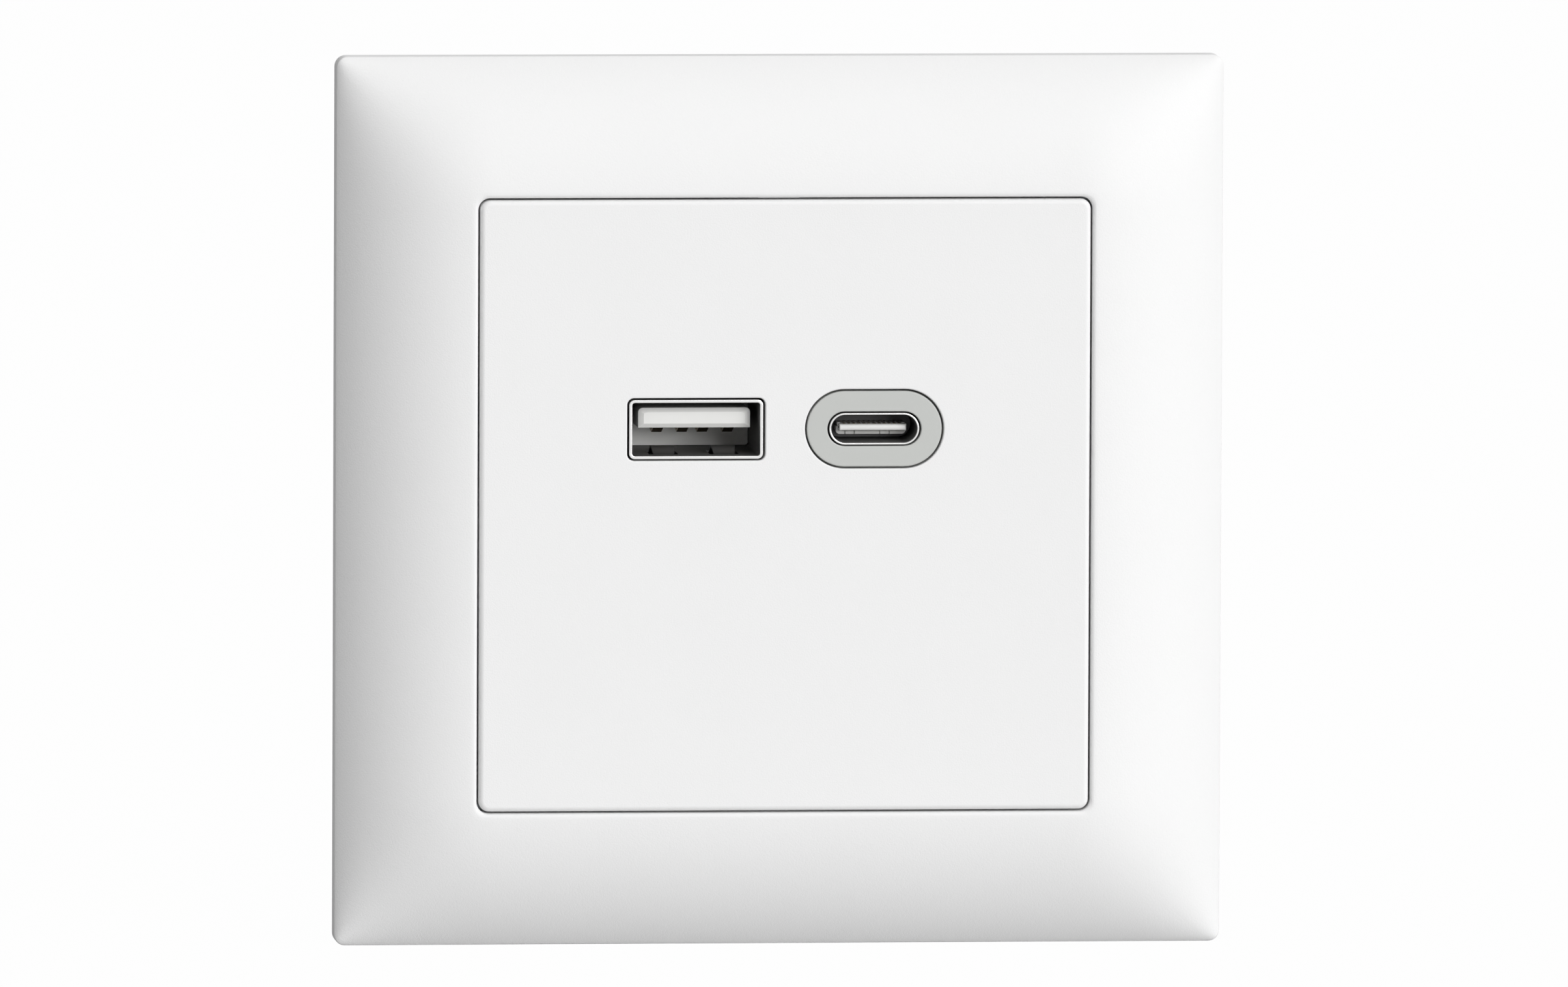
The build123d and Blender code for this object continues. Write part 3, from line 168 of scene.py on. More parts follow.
def drawn_metal(name, light, dark, gloss, line, relief, way, inside=None):
    """A rolled or drawn metal: fine lines along one way, in its tone, its gloss and its relief.

    Inside, if given, is painted shade: the darker colour it takes on behind the mouth of a port.
    """
    material, tree, shader, place = start_material(name, light, gloss[0], Metallic=1.0)
    along = add_node(tree, "Mapping", {"Vector": place, "Scale": way}).outputs[0]
    lines = noise(tree, along, line, Detail=4.0, Roughness=0.6)
    tone = blend(tree, lines, light, dark)
    dullness = between(tree, lines, gloss)
    # Painted shade: behind the mouth the tone darkens to the inside colour, and the metal grows duller
    if inside:
        out = add_node(tree, "SeparateXYZ", {0: place}).outputs["Y"]
        levels = {"Value": out, "From Min": -SHADE_AND_DULL_LEVELS[0] * MM, "From Max": -SHADE_AND_DULL_LEVELS[1] * MM}
        depth = add_node(tree, "MapRange", levels).outputs[0]
        tone = blend(tree, depth, tone, inside)
        duller = {0: depth, 1: INSIDE_DULLNESS, 2: dullness}
        dullness = add_node(tree, "Math", duller, operation="MULTIPLY_ADD").outputs[0]
    give_surface(tree, shader, tone, lines, relief, dullness)
    return material


def banded(name, light, dark, gloss, pitch, relief, axis, **sockets):
    """A wound or layered surface: round bands side by side along one axis, dark in the grooves."""
    material, tree, shader, place = start_material(name, light, gloss, **sockets)
    turns = bands(tree, place, pitch, axis, Distortion=0.4, Detail=2.0)
    give_surface(tree, shader, blend(tree, turns, dark, light), turns, relief)
    return material


# Spangle of hot zinc: flat crystals about 1.6 mm wide, each with its own shade and gloss, over the
# faint unevenness of rolled sheet
SPANGLE = 1.6
SPANGLE_TONES = ("#D2D5D8", "#B4B8BC")
SPANGLE_GLOSS = (0.28, 0.46)
SHEET_GRAIN = 0.4
SHEET_RELIEF = 0.006


def zinc_plated_steel():
    material, tree, shader, place = start_material(
        "steel_sheet_zinc_plated", SPANGLE_TONES[0], SPANGLE_GLOSS[0], Metallic=1.0
    )
    crystals = add_node(tree, "TexVoronoi", {"Vector": place, "Scale": 1 / (SPANGLE * MM)})
    shade = add_node(tree, "RGBToBW", {"Color": crystals.outputs["Color"]}).outputs[0]
    rolled = noise(tree, place, SHEET_GRAIN, Detail=3.0)
    tone, dullness = blend(tree, shade, *SPANGLE_TONES), between(tree, shade, SPANGLE_GLOSS)
    give_surface(tree, shader, tone, rolled, SHEET_RELIEF, dullness)
    return material


# Glass cloth under the board's green resist: threads about 0.5 mm apart show as a faint square weave
THREAD = 0.5
THREAD_RELIEF = 0.01
RESIST_TONES = ("#165A31", "#23784A")


def solder_resist_laminate():
    material, tree, shader, place = start_material(
        "glass_epoxy_laminate_solder_resist",
        RESIST_TONES[1],
        0.3,
        IOR=1.5,
        Coat_Weight=0.4,
        Coat_Roughness=0.15,
    )
    across, up = (bands(tree, place, THREAD, axis, Distortion=0.3) for axis in ("X", "Z"))
    cloth = add_node(tree, "Math", {0: across, 1: up}, operation="MULTIPLY").outputs[0]
    give_surface(tree, shader, blend(tree, cloth, *RESIST_TONES), cloth, THREAD_RELIEF)
    return material


# The border and the plate: matt white with the fine, even grain of a spark-eroded mould. The real
# grain is about as coarse as it is drawn.
white_thermoplastic = moulded(
    "thermoplastic_spark_eroded_white", "#F4F4F4", "#F2F2F2", (0.72, 0.8), 0.15, 0.022, IOR=1.53
)
# The collar: smoother than the plate, a cool mid grey with a satin sheen
collar_polycarbonate = moulded(
    "polycarbonate_satin_grey", "#C1C3C0", "#BDBFBC", (0.36, 0.44), 0.2, 0.004, flow=4.0, IOR=1.58
)
# Port shells: a bright lip that the plugs keep polished, and duller metal inside, painted dark as the
# shade deep in the port, with fine lines from the press along the way a plug goes in
nickel_steel = drawn_metal(
    "steel_stamped_nickel_plated", "#E6E6E5", "#D9D9D8", (0.14, 0.22), 0.12, 0.0005, (1.0, 0.06, 1.0),
    # Painted shade deep inside the port
    inside="#747474"
)
# Tongue of the left port: a dense, clean white
port_nylon = moulded(
    "nylon_moulded_white", "#F1F1EF", "#EAEAE7", (0.4, 0.5), 0.15, 0.004, flow=2.0, IOR=1.53
)
# Tongue of the right port: the same white, with its base painted dark grey as the shade deep in the port
white_nylon_shade_painted = moulded(
    "nylon_white_painted_shade_base", "#F1F1EF", "#EAEAE7", (0.4, 0.5), 0.15, 0.004, flow=2.0,
    base=("#4A4A4B", 3.65), IOR=1.53
)
# Contacts: thin gold on bronze, wiped smooth along their length, painted a darker gold as the shade deep
# in the ports
gold_bronze = drawn_metal(
    "bronze_strip_gold_flashed", "#A68A4A", "#87703A", (0.16, 0.3), 0.08, 0.002, (1.0, 0.08, 1.0)
)
# Support plate and screws: bluish metal broken up by zinc crystals
zinc_steel = zinc_plated_steel()
# Case halves: dark grey with a coarser mould grain than the front, and dull
case_polycarbonate = moulded(
    "polycarbonate_spark_eroded_grey", "#5A5D61", "#4E5155", (0.48, 0.6), 0.35, 0.02, flow=14.0, IOR=1.58
)
# Terminals: pale grey and waxy
terminal_nylon = moulded(
    "nylon_moulded_grey", "#C9C9C4", "#BDBDB7", (0.38, 0.5), 0.3, 0.008, flow=6.0, IOR=1.53
)
# Buttons: bright orange with a soft gloss
button_nylon = moulded(
    "nylon_moulded_orange", "#E8731F", "#DB6514", (0.28, 0.4), 0.25, 0.005, flow=3.0, IOR=1.53
)
# Terminal bars: yellow metal dulled by tin, with rolling lines
tinned_brass = drawn_metal(
    "brass_strip_tinned", "#D9C08A", "#BFA25F", (0.3, 0.45), 0.15, 0.004, (1.0, 0.1, 1.0)
)
# Clamp springs: plain bluish steel, polished by rolling
spring_steel = drawn_metal(
    "steel_spring_strip_rolled", "#C3C5C7", "#A7A9AC", (0.22, 0.36), 0.1, 0.003, (0.1, 1.0, 1.0)
)
# Board: glossy green over a faint weave
board_laminate = solder_resist_laminate()
# Cores: charcoal, dull and slightly sparkling where the grains of the sintered powder are cut
sintered_ferrite = moulded(
    "ferrite_sintered", "#4A4A4D", "#343437", (0.5, 0.75), 0.12, 0.015, flow=0.4, IOR=2.2
)
# Bobbin: deep black with a hard gloss
phenolic = moulded(
    "phenolic_moulded_black", "#222223", "#1A1A1B", (0.3, 0.42), 0.3, 0.006, flow=5.0, IOR=1.6
)
# Transformer winding: yellow film wound in turns of tape, 3 mm wide
wound_tape = banded(
    "polyester_tape_wound", "#EBCB3D", "#C9A827", 0.25, 3.0, 0.03, "Y", IOR=1.64, Coat_Weight=0.3
)
# Choke winding: red-brown wire of 0.3 mm, turn beside turn
wound_wire = banded(
    "copper_wire_enamelled", "#C8713C", "#6E3316", 0.28, 0.3, 0.06, "Y", Metallic=1.0
)
# Capacitor and fuse sleeves: glossy black film, faintly creased where it shrank
shrunk_sleeve = moulded(
    "vinyl_sleeve_shrunk", "#2B2D31", "#222428", (0.22, 0.32), 1.4, 0.03, flow=6.0, IOR=1.53
)
# Discs: blue, glossy and a little uneven, as a dipped coat is
dipped_epoxy = moulded(
    "epoxy_dipped_blue", "#2E62A8", "#27559A", (0.16, 0.24), 0.9, 0.04, flow=3.0, IOR=1.55
)
# Chip packages: dull black with the grain of the filler
moulded_epoxy = moulded(
    "epoxy_moulded_black", "#2A2A2C", "#212123", (0.5, 0.62), 0.1, 0.006, flow=1.5, IOR=1.6
)
# Chip capacitors: pale brown ceramic, matt and speckled
sintered_ceramic = moulded(
    "ceramic_sintered_tan", "#C2A883", "#B09672", (0.4, 0.55), 0.08, 0.004, flow=0.5, IOR=1.9
)


def assign(material, *nodes):
    """Gives a material to CAD nodes that keep their shape."""
    for node in nodes:
        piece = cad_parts[node]
        piece.data.materials.clear()
        piece.data.materials.append(material)


assign(white_thermoplastic, "plate_carrier")
assign(nickel_steel, "usb_c_mid_plate")
assign(gold_bronze, *(f"usb_a_contact_{number}" for number in (1, 2, 3, 4)))
assign(gold_bronze, "usb_c_contacts_upper", "usb_c_contacts_lower")
assign(zinc_steel, "module_screws")
assign(case_polycarbonate, "front_lid")
assign(tinned_brass, "terminal_bar_live", "terminal_bar_neutral")
assign(board_laminate, "main_board")
assign(sintered_ferrite, "transformer_core", "filter_choke_core")
assign(phenolic, "transformer_bobbin")
assign(wound_tape, "transformer_winding")
assign(wound_wire, "filter_choke_winding")
assign(shrunk_sleeve, "input_capacitor_1", "input_capacitor_2", "input_fuse")
assign(shrunk_sleeve, "output_capacitor_1", "output_capacitor_2")
assign(dipped_epoxy, "surge_varistor", "safety_capacitor")
assign(moulded_epoxy, "bridge_rectifier", "primary_controller", "sync_rectifier", "optocoupler")
assign(moulded_epoxy, "port_controller", "output_inductor")
assign(sintered_ceramic, "chip_capacitors")


# Modelling: millimetres to the right, out of the wall and up


def at(x, out, z):
    """A place in metres."""
    return Vector((x, -out, z)) * MM


def seen_from_maker(point):
    """A place in the mesh as millimetres to the right, out of the wall and up."""
    return Vector((point.x, -point.y, point.z)) / MM


def centred(middle, half):
    """The two ends of something by its middle and half its length."""
    return (middle - half, middle + half)


def last_added(name):
    """Names the piece that was added last, and puts its place, turn and size into its mesh."""
    piece = bpy.context.active_object
    bpy.ops.object.transform_apply()
    piece.name = piece.data.name = name
    return piece


def block(name, x, out, z):
    """A new box between the two ends that each of x, out and z gives."""
    bpy.ops.object.select_all(action="DESELECT")
    low, high = at(x[0], out[1], z[0]), at(x[1], out[0], z[1])
    bpy.ops.mesh.primitive_cube_add(size=1, location=(low + high) / 2, scale=high - low)
    return last_added(name)


def only(piece):
    """Selects one piece and nothing else."""
    bpy.ops.object.select_all(action="DESELECT")
    piece.select_set(True)
    bpy.context.view_layer.objects.active = piece


FLAT = radians(15)
# Vertices this near each other are merged, and places this near a level are on it
MERGE = 0.001
NEAR = 0.01
# A direction or normal with at least this share along an axis runs along it
ALONG = 0.9


def pick(piece, kind, test):
    """Opens a piece in edit mode with only those vertices, edges or faces selected that pass the test.

    The test gets their middle, and for an edge its direction and for a face its normal as well.
    Edges across a flat face are left out.
    """
    if bpy.context.mode == "OBJECT":
        only(piece)
        bpy.ops.object.mode_set(mode="EDIT")
    bpy.ops.mesh.select_mode(type=kind)
    bpy.ops.mesh.select_all(action="DESELECT")
    mesh = bmesh.from_edit_mesh(piece.data)
    if kind == "VERT":
        found = [vert for vert in mesh.verts if test(seen_from_maker(vert.co))]
    elif kind == "EDGE":
        found = []
        for edge in mesh.edges:
            start, end = (seen_from_maker(vert.co) for vert in edge.verts)
            creased = edge.calc_face_angle(pi) > FLAT
            if creased and test((start + end) / 2, (end - start).normalized()):
                found.append(edge)
    else:
        found = []
        for face in mesh.faces:
            middle = seen_from_maker(face.calc_center_median())
            if test(middle, seen_from_maker(face.normal).normalized()):
                found.append(face)
    for part in found:
        part.select_set(True)
    bmesh.update_edit_mesh(piece.data)


def close(piece):
    """Leaves edit mode."""
    bpy.ops.object.mode_set(mode="OBJECT")
    return piece


def face_outward(piece):
    """Turns all faces of the open piece outward, and leaves edit mode."""
    bpy.ops.mesh.select_all(action="SELECT")
    bpy.ops.mesh.normals_make_consistent(inside=False)
    return close(piece)


def round_edges(piece, test, radius, segments=4):
    """Rounds those edges of a piece that pass the test."""
    pick(piece, "EDGE", test)
    bpy.ops.mesh.bevel(
        offset=radius * MM, segments=segments, affect="EDGES", clamp_overlap=False, loop_slide=False
    )
    return close(piece)


def merge_close(piece):
    """Merges vertices that lie on each other."""
    pick(piece, "VERT", lambda place: True)
    bpy.ops.mesh.remove_doubles(threshold=MERGE * MM)
    return close(piece)


def rounded_block(name, centre, size, radius, out, segments=6):
    """A bar that runs out of the wall, with its four long edges rounded."""
    piece = block(name, centred(centre[0], size[0] / 2), out, centred(centre[1], size[1] / 2))
    return round_edges(piece, lambda middle, way: abs(way.y) > ALONG, radius, segments)


def oval_block(name, centre, size, out):
    """A bar that runs out of the wall, with two half-round sides."""
    piece = rounded_block(name, centre, size, min(size) / 2, out, segments=14)
    return merge_close(piece)


def round_bar(name, centre, radius, out, sides=40):
    """A round bar that runs out of the wall."""
    bpy.ops.object.select_all(action="DESELECT")
    bpy.ops.mesh.primitive_cylinder_add(
        vertices=sides,
        radius=radius * MM,
        depth=(out[1] - out[0]) * MM,
        location=at(centre[0], (out[0] + out[1]) / 2, centre[1]),
        rotation=(pi / 2, 0, 0),
    )
    return last_added(name)


def tube(bar, wall):
    """Makes a bar that runs out of the wall hollow from end to end, with walls of one thickness."""
    pick(bar, "FACE", lambda middle, normal: abs(normal.y) > ALONG)
    bpy.ops.mesh.inset(thickness=wall * MM)
    bpy.ops.mesh.bridge_edge_loops()
    return face_outward(bar)


def modify(piece, kind, **settings):
    """Puts one modifier on a piece and applies it."""
    only(piece)
    modifier = piece.modifiers.new(kind, kind)
    for field, value in settings.items():
        setattr(modifier, field, value)
    bpy.ops.object.modifier_apply(modifier=modifier.name)
    return piece


def combine(piece, tools, operation):
    """Adds tools to a piece, or takes them away, and removes the tools."""
    for tool in tools:
        modify(piece, "BOOLEAN", operation=operation, solver="EXACT", object=tool)
        bpy.data.objects.remove(tool)
    return piece


def cut(piece, *tools):
    return combine(piece, tools, "DIFFERENCE")


def fuse(piece, *tools):
    return combine(piece, tools, "UNION")


def copied(piece, name, turn=0.0, shift=(0, 0, 0), mirror=False):
    """A copy with its own mesh: mirrored left to right, turned about the socket's middle, shifted."""
    copy = piece.copy()
    copy.data = piece.data.copy()
    copy.name = copy.data.name = name
    bpy.context.scene.collection.objects.link(copy)
    only(copy)
    if mirror:
        copy.scale.x = -1
    copy.rotation_euler.y = radians(turn)
    copy.location = at(*shift)
    bpy.ops.object.transform_apply()
    if mirror:
        bpy.ops.object.mode_set(mode="EDIT")
        face_outward(copy)
    return copy


def joined(pieces):
    """Several pieces that don't touch, as one."""
    only(pieces[0])
    for piece in pieces:
        piece.select_set(True)
    bpy.ops.object.join()
    return pieces[0]


def soften(piece, radius, segments=2, angle=40):
    """Takes the sharpness off every edge that turns by more than the angle."""
    limit = {"limit_method": "ANGLE", "angle_limit": radians(angle)}
    return modify(piece, "BEVEL", width=radius * MM, segments=segments, harden_normals=False, **limit)


SMOOTH = radians(50)
# How far a cutting tool reaches past what it cuts, and a joint into what carries it
SPARE = 1.0


def finish_piece(piece, material, slot, *nodes, body="socket", flat=True):
    """Smooths the shading, and gives a piece its material, body and the CAD nodes it stands for; slot is
    not used.

    On a piece with flat faces the largest face at each corner rules the shading, so that they look flat.
    """
    only(piece)
    bpy.ops.object.shade_smooth_by_angle(angle=SMOOTH)
    if flat:
        modify(piece, "WEIGHTED_NORMAL", keep_sharp=True, weight=100)
    piece.data.materials.clear()
    piece.data.materials.append(material)
    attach(piece, body)
    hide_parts(*nodes)


# Border

BORDER_SIDE = 88.0
BORDER_CORNER = 1.1
BORDER_RIM = 2.5
BORDER_CREST = 9.03
BORDER_RUN = 15.0
# The face ends where its rounded rim begins to turn over, from 45 degrees to straight back
RIM_ROUND = 0.3
RIM_TURNS = [radians(turn) for turn in (45, 60, 75, 90)]
FACE_SIDE = BORDER_SIDE - 2 * RIM_ROUND * (1 - sin(RIM_TURNS[0]))
OPENING_SIDE = 60.85
OPENING_CORNER = 1.2
OPENING_ROUND = 0.38
OPENING_TURNS = [radians(turn) for turn in (0, 18, 36, 54, 72, 90)]
OPENING_FACE_SIDE = OPENING_SIDE + 2 * OPENING_ROUND
LINING_SIDE = 63.8
LINING_FOOT = 4.4
HOLLOW_SIDE = 84.4
HOLLOW_RIM = 1.2
HOLLOW_CREST = 7.2
HOLLOW_RUN = 13.1
FACE_PILLOW = (FACE_SIDE, BORDER_RIM, BORDER_CREST, BORDER_RUN)
HOLLOW_PILLOW = (HOLLOW_SIDE, HOLLOW_RIM, HOLLOW_CREST, HOLLOW_RUN)
LEAST_SHARE = 1e-6
SIDE_CUTS = 63
CORNER_STEPS = 9
RINGS = 44
HOLLOW_RINGS = 9
LONG_EDGE = 10.0


def pillow_level(x, z, side, rim, crest, run):
    """How far a pillow-shaped face stands out of the wall.

    It rises from each side on a round arc, and the four arcs melt into each other at the corners.
    """
    drop = crest - rim
    radius = (run**2 + drop**2) / (2 * drop)
    shares = []
    for inward in (side / 2 - abs(x), side / 2 - abs(z)):
        reach = min(max(run - inward, 0.0), run)
        fall = radius - sqrt(radius**2 - reach**2)
        shares.append(max(1 - fall / drop, LEAST_SHARE))
    across, up = shares
    return rim + drop * across * up / (across + up - across * up)


def shape_level(piece, pillow, everywhere=False):
    """Moves the selected vertices, or all of them, to the level of a pillow-shaped face."""
    mesh = bmesh.from_edit_mesh(piece.data)
    for vert in mesh.verts:
        if everywhere or vert.select:
            place = seen_from_maker(vert.co)
            vert.co.y = -pillow_level(place.x, place.z, *pillow) * MM
    bmesh.update_edit_mesh(piece.data)


def add_outline(side, corner):
    """Adds a rounded square to the open mesh, as a loop of many short edges."""
    bpy.ops.mesh.primitive_plane_add(size=side * MM, rotation=(pi / 2, 0, 0))
    bpy.ops.mesh.bevel(offset=corner * MM, segments=CORNER_STEPS, affect="VERTICES")


def pick_edges(piece, test):
    """Selects only those edges of the open mesh that pass the test."""
    bpy.ops.mesh.select_mode(type="EDGE")
    bpy.ops.mesh.select_all(action="DESELECT")
    mesh = bmesh.from_edit_mesh(piece.data)
    for edge in mesh.edges:
        if test(edge):
            edge.select_set(True)


def divide_long_edges(piece):
    pick_edges(piece, lambda edge: edge.calc_length() > LONG_EDGE * MM)
    bpy.ops.mesh.subdivide(number_cuts=SIDE_CUTS)


def grow_loop(factor):
    """Extrudes the selected loop straight out to a larger size, along the wall."""
    bpy.ops.mesh.extrude_region_move()
    bpy.ops.transform.resize(value=(factor, 1, factor), center_override=(0, 0, 0))


def drop_loop(level):
    """Extrudes the selected loop to one level out of the wall."""
    bpy.ops.mesh.extrude_region_move()
    bpy.ops.transform.resize(value=(1, 0, 1), center_override=at(0, level, 0))


def turn_over(side, radius, turns, outward):
    """Extrudes the selected loop over a rounded edge, outward (1) or into the opening (-1)."""
    for last, turn in zip(turns, turns[1:]):
        moved = side + 2 * outward * radius * (sin(turn) - sin(last))
        grow_loop(moved / side)
        bpy.ops.transform.translate(value=at(0, radius * (cos(turn) - cos(last)), 0))
        side = moved


def open_loop(piece, inside):
    """Selects the open edges of a mesh, on the outside or round the opening."""
    limit = (OPENING_SIDE / 2 + BORDER_SIDE / 2) / 2

    def test(edge):
        place = seen_from_maker((edge.verts[0].co + edge.verts[1].co) / 2)
        return edge.is_boundary and (max(abs(place.x), abs(place.z)) < limit) == inside

    pick_edges(piece, test)


def border_shell():
    """The border's skin: front face, outer wall, lining of the opening and the hollow behind."""
    bpy.ops.object.select_all(action="DESELECT")
    bpy.ops.mesh.primitive_plane_add(size=FACE_SIDE * MM, rotation=(pi / 2, 0, 0))
    border = last_added("border")
    bpy.ops.object.mode_set(mode="EDIT")
    bpy.ops.mesh.select_all(action="SELECT")
    bpy.ops.mesh.bevel(offset=BORDER_CORNER * MM, segments=CORNER_STEPS, affect="VERTICES")
    divide_long_edges(border)
    add_outline(OPENING_FACE_SIDE, OPENING_CORNER)
    divide_long_edges(border)
    bpy.ops.mesh.select_all(action="SELECT")
    bpy.ops.mesh.delete(type="ONLY_FACE")
    bpy.ops.mesh.select_all(action="SELECT")
    bpy.ops.mesh.bridge_edge_loops(number_cuts=RINGS, interpolation="LINEAR")
    shape_level(border, FACE_PILLOW, everywhere=True)
    open_loop(border, inside=False)
    turn_over(FACE_SIDE, RIM_ROUND, RIM_TURNS, 1)
    drop_loop(0.0)
    open_loop(border, inside=True)
    turn_over(OPENING_FACE_SIDE, OPENING_ROUND, OPENING_TURNS, -1)
    drop_loop(LINING_FOOT)
    grow_loop(LINING_SIDE / OPENING_SIDE)
    bpy.ops.mesh.extrude_region_move()
    shape_level(border, HOLLOW_PILLOW)
    side = LINING_SIDE
    for ring in range(1, HOLLOW_RINGS + 1):
        wider = LINING_SIDE + (HOLLOW_SIDE - LINING_SIDE) * ring / HOLLOW_RINGS
        grow_loop(wider / side)
        shape_level(border, HOLLOW_PILLOW)
        side = wider
    drop_loop(0.0)
    pick_edges(border, lambda edge: edge.is_boundary)
    bpy.ops.mesh.bridge_edge_loops()
    return face_outward(border)


RIB_SPAN = (31.1, 38.6)
RIB_LEVELS = (8.0, 5.4)
RIB_PLACE = 11.0
RIB_HALF = 0.5
HOOK_ARM = (36.3, 37.8)
HOOK_NOSE = (35.2, 36.4)
HOOK_LEVELS = (3.0, 3.8, 6.2)
HOOK_PLACE = 22.0
HOOK_HALF = 3.4
HOOK_TAPER = 0.35


def border_rib():
    """One stiffening rib behind the right side of the border, lower towards the outer wall."""
    rib = block("rib", RIB_SPAN, (LINING_FOOT, RIB_LEVELS[0]), centred(RIB_PLACE, RIB_HALF))
    pick(rib, "EDGE", lambda m, way: m.x > RIB_SPAN[1] - NEAR and m.y > RIB_LEVELS[0] - NEAR)
    bpy.ops.transform.translate(value=at(0, RIB_LEVELS[1] - RIB_LEVELS[0], 0))
    return close(rib)


def border_hook():
    """One snap hook behind the right side: an arm with a nose that tapers towards the wall."""
    middle = centred(HOOK_PLACE, HOOK_HALF)
    hook = block("hook", HOOK_ARM, (HOOK_LEVELS[0], HOOK_LEVELS[2]), middle)
    nose = block("nose", HOOK_NOSE, HOOK_LEVELS[:2], middle)
    pick(nose, "EDGE", lambda m, way: m.x < HOOK_NOSE[0] + NEAR and m.y < HOOK_LEVELS[0] + NEAR)
    bpy.ops.transform.translate(value=at(HOOK_TAPER, 0, 0))
    close(nose)
    return fuse(hook, nose)


def make_border():
    border = border_shell()
    ribs = [border_rib()]
    ribs.append(copied(ribs[0], "rib", shift=(0, 0, -2 * RIB_PLACE)))
    ribs += [copied(rib, "rib", turn) for turn in (90, 180, 270) for rib in ribs[:2]]
    hooks = [border_hook()]
    hooks.append(copied(hooks[0], "hook", shift=(0, 0, -2 * HOOK_PLACE)))
    hooks += [copied(hook, "hook", mirror=True) for hook in hooks[:2]]
    fuse(border, joined(ribs + hooks))
    finish_piece(border, white_thermoplastic, "moulded_white", "cover_frame", flat=False)


# Front plate and its ports

PLATE_SIDE = 60.42
PLATE_CORNER = 1.0
PLATE_LEVELS = (7.0, 9.0)
PLATE_ROUND = 0.5
PLATE_MARGIN = 2.0
CUTOUT_ROUND = 0.15
PORT_A = (-8.825, 7.55)
PORT_C = (8.825, 7.55)
PORT_LEVEL = 8.9
BOARD_LEVEL = -5.0
LEG_LEVEL = -6.0
A_CUTOUT = (13.68, 6.2)
A_CUTOUT_CORNER = 0.68
COLLAR_CUTOUT = (13.76, 7.86)
THROUGH = (-40.0, 20.0)


def make_faceplate():
    plate = rounded_block("faceplate", (0, 0), (PLATE_SIDE, PLATE_SIDE), PLATE_CORNER, PLATE_LEVELS)
    front = lambda m, way: m.y > PLATE_LEVELS[1] - NEAR
    round_edges(plate, front, PLATE_ROUND, segments=5)
    cut(plate, rounded_block("a_cutout", PORT_A, A_CUTOUT, A_CUTOUT_CORNER, THROUGH))
    cut(plate, oval_block("collar_cutout", PORT_C, COLLAR_CUTOUT, THROUGH))
    within = PLATE_SIDE / 2 - PLATE_MARGIN
    mouths = lambda m, way: front(m, way) and max(abs(m.x), abs(m.z)) < within
    round_edges(plate, mouths, CUTOUT_ROUND)
    finish_piece(plate, white_thermoplastic, "moulded_white", "front_plate")


COLLAR = (13.38, 7.48)
COLLAR_FOOT = (15.55, 9.65)
COLLAR_LEVELS = (5.6, 7.0, 8.9)
COLLAR_WALL = 2.04
COLLAR_ROUND = 0.12


def make_collar():
    base, foot, top = COLLAR_LEVELS
    collar = tube(oval_block("collar", PORT_C, COLLAR, (base, top)), COLLAR_WALL)
    pick(collar, "FACE", lambda middle, normal: True)
    bpy.ops.mesh.bisect(plane_co=at(0, foot, 0), plane_no=(0, 1, 0))
    centre = Vector((PORT_C[0], 0, PORT_C[1]))
    outside = lambda m, normal: abs(normal.y) < NEAR and normal.dot(m - centre) > 0
    pick(collar, "FACE", lambda m, normal: m.y < foot and outside(m, normal))
    bpy.ops.mesh.extrude_region_move()
    wider = (COLLAR_FOOT[0] / COLLAR[0], 1, COLLAR_FOOT[1] / COLLAR[1])
    bpy.ops.transform.resize(value=wider, center_override=at(*centre))
    close(collar)
    round_edges(collar, lambda m, way: m.y > top - NEAR, COLLAR_ROUND)
    finish_piece(collar, collar_polycarbonate, "collar_grey", "usb_c_collar")


A_OUTER = (13.26, 5.86)
A_INNER = (12.66, 5.26)
A_CORNER = 0.55
A_SHEET = 0.3
A_EDGE = 0.05
A_FINGER_SHEET = 0.21
A_FINGER_X = 3.0
A_FINGER_HALF = 1.2
A_FINGER_TAPER = 0.2
A_FINGER_CORNER = 0.25
A_SLOT_HALF = 1.45
A_SLOT_LEVELS = (2.65, 6.85)
A_FINGER_TIP = 6.6
A_FINGER_CREST = 5.0
A_TIP_LIFT = 0.02
A_DIPS = {-1: 0.78, 1: 0.3}
A_LEG_HALF = 0.6
FINGER_CUTS = 14


def finger_lift(out, dip):
    """How far a spring finger stands into the port at one level: up to its crest and back at its tip."""
    root = A_SLOT_LEVELS[0]
    if out <= root:
        return 0.0
    if out <= A_FINGER_CREST:
        return dip * (1 - cos(pi * (out - root) / (A_FINGER_CREST - root))) / 2
    past = (out - A_FINGER_CREST) / (A_FINGER_TIP - A_FINGER_CREST)
    return A_TIP_LIFT + (dip - A_TIP_LIFT) * (1 + cos(pi * past)) / 2


def spring_finger(wall, x):
    """One finger of the port's floor (-1) or ceiling (1), bent from a strip with a rounded tip."""
    middle = PORT_A[1] + wall * (A_INNER[1] + A_SHEET) / 2
    finger = block(
        "finger",
        centred(PORT_A[0] + x, A_FINGER_HALF),
        (A_SLOT_LEVELS[0] - A_SHEET, A_FINGER_TIP),
        centred(middle, A_FINGER_SHEET / 2),
    )
    pick(finger, "EDGE", lambda m, way: abs(way.y) > ALONG)
    bpy.ops.mesh.subdivide(number_cuts=FINGER_CUTS)
    close(finger)
    tip = lambda m, way: abs(way.z) > ALONG and m.y > A_FINGER_TIP - NEAR
    round_edges(finger, tip, A_FINGER_CORNER)
    pick(finger, "VERT", lambda place: True)
    mesh = bmesh.from_edit_mesh(finger.data)
    for vert in mesh.verts:
        place = seen_from_maker(vert.co)
        past = max((place.y - A_FINGER_CREST) / (A_FINGER_TIP - A_FINGER_CREST), 0.0)
        vert.co.x -= (place.x - PORT_A[0] - x) * A_FINGER_TAPER * past * MM
        vert.co.z -= wall * finger_lift(place.y, A_DIPS[wall]) * MM
    return close(finger)


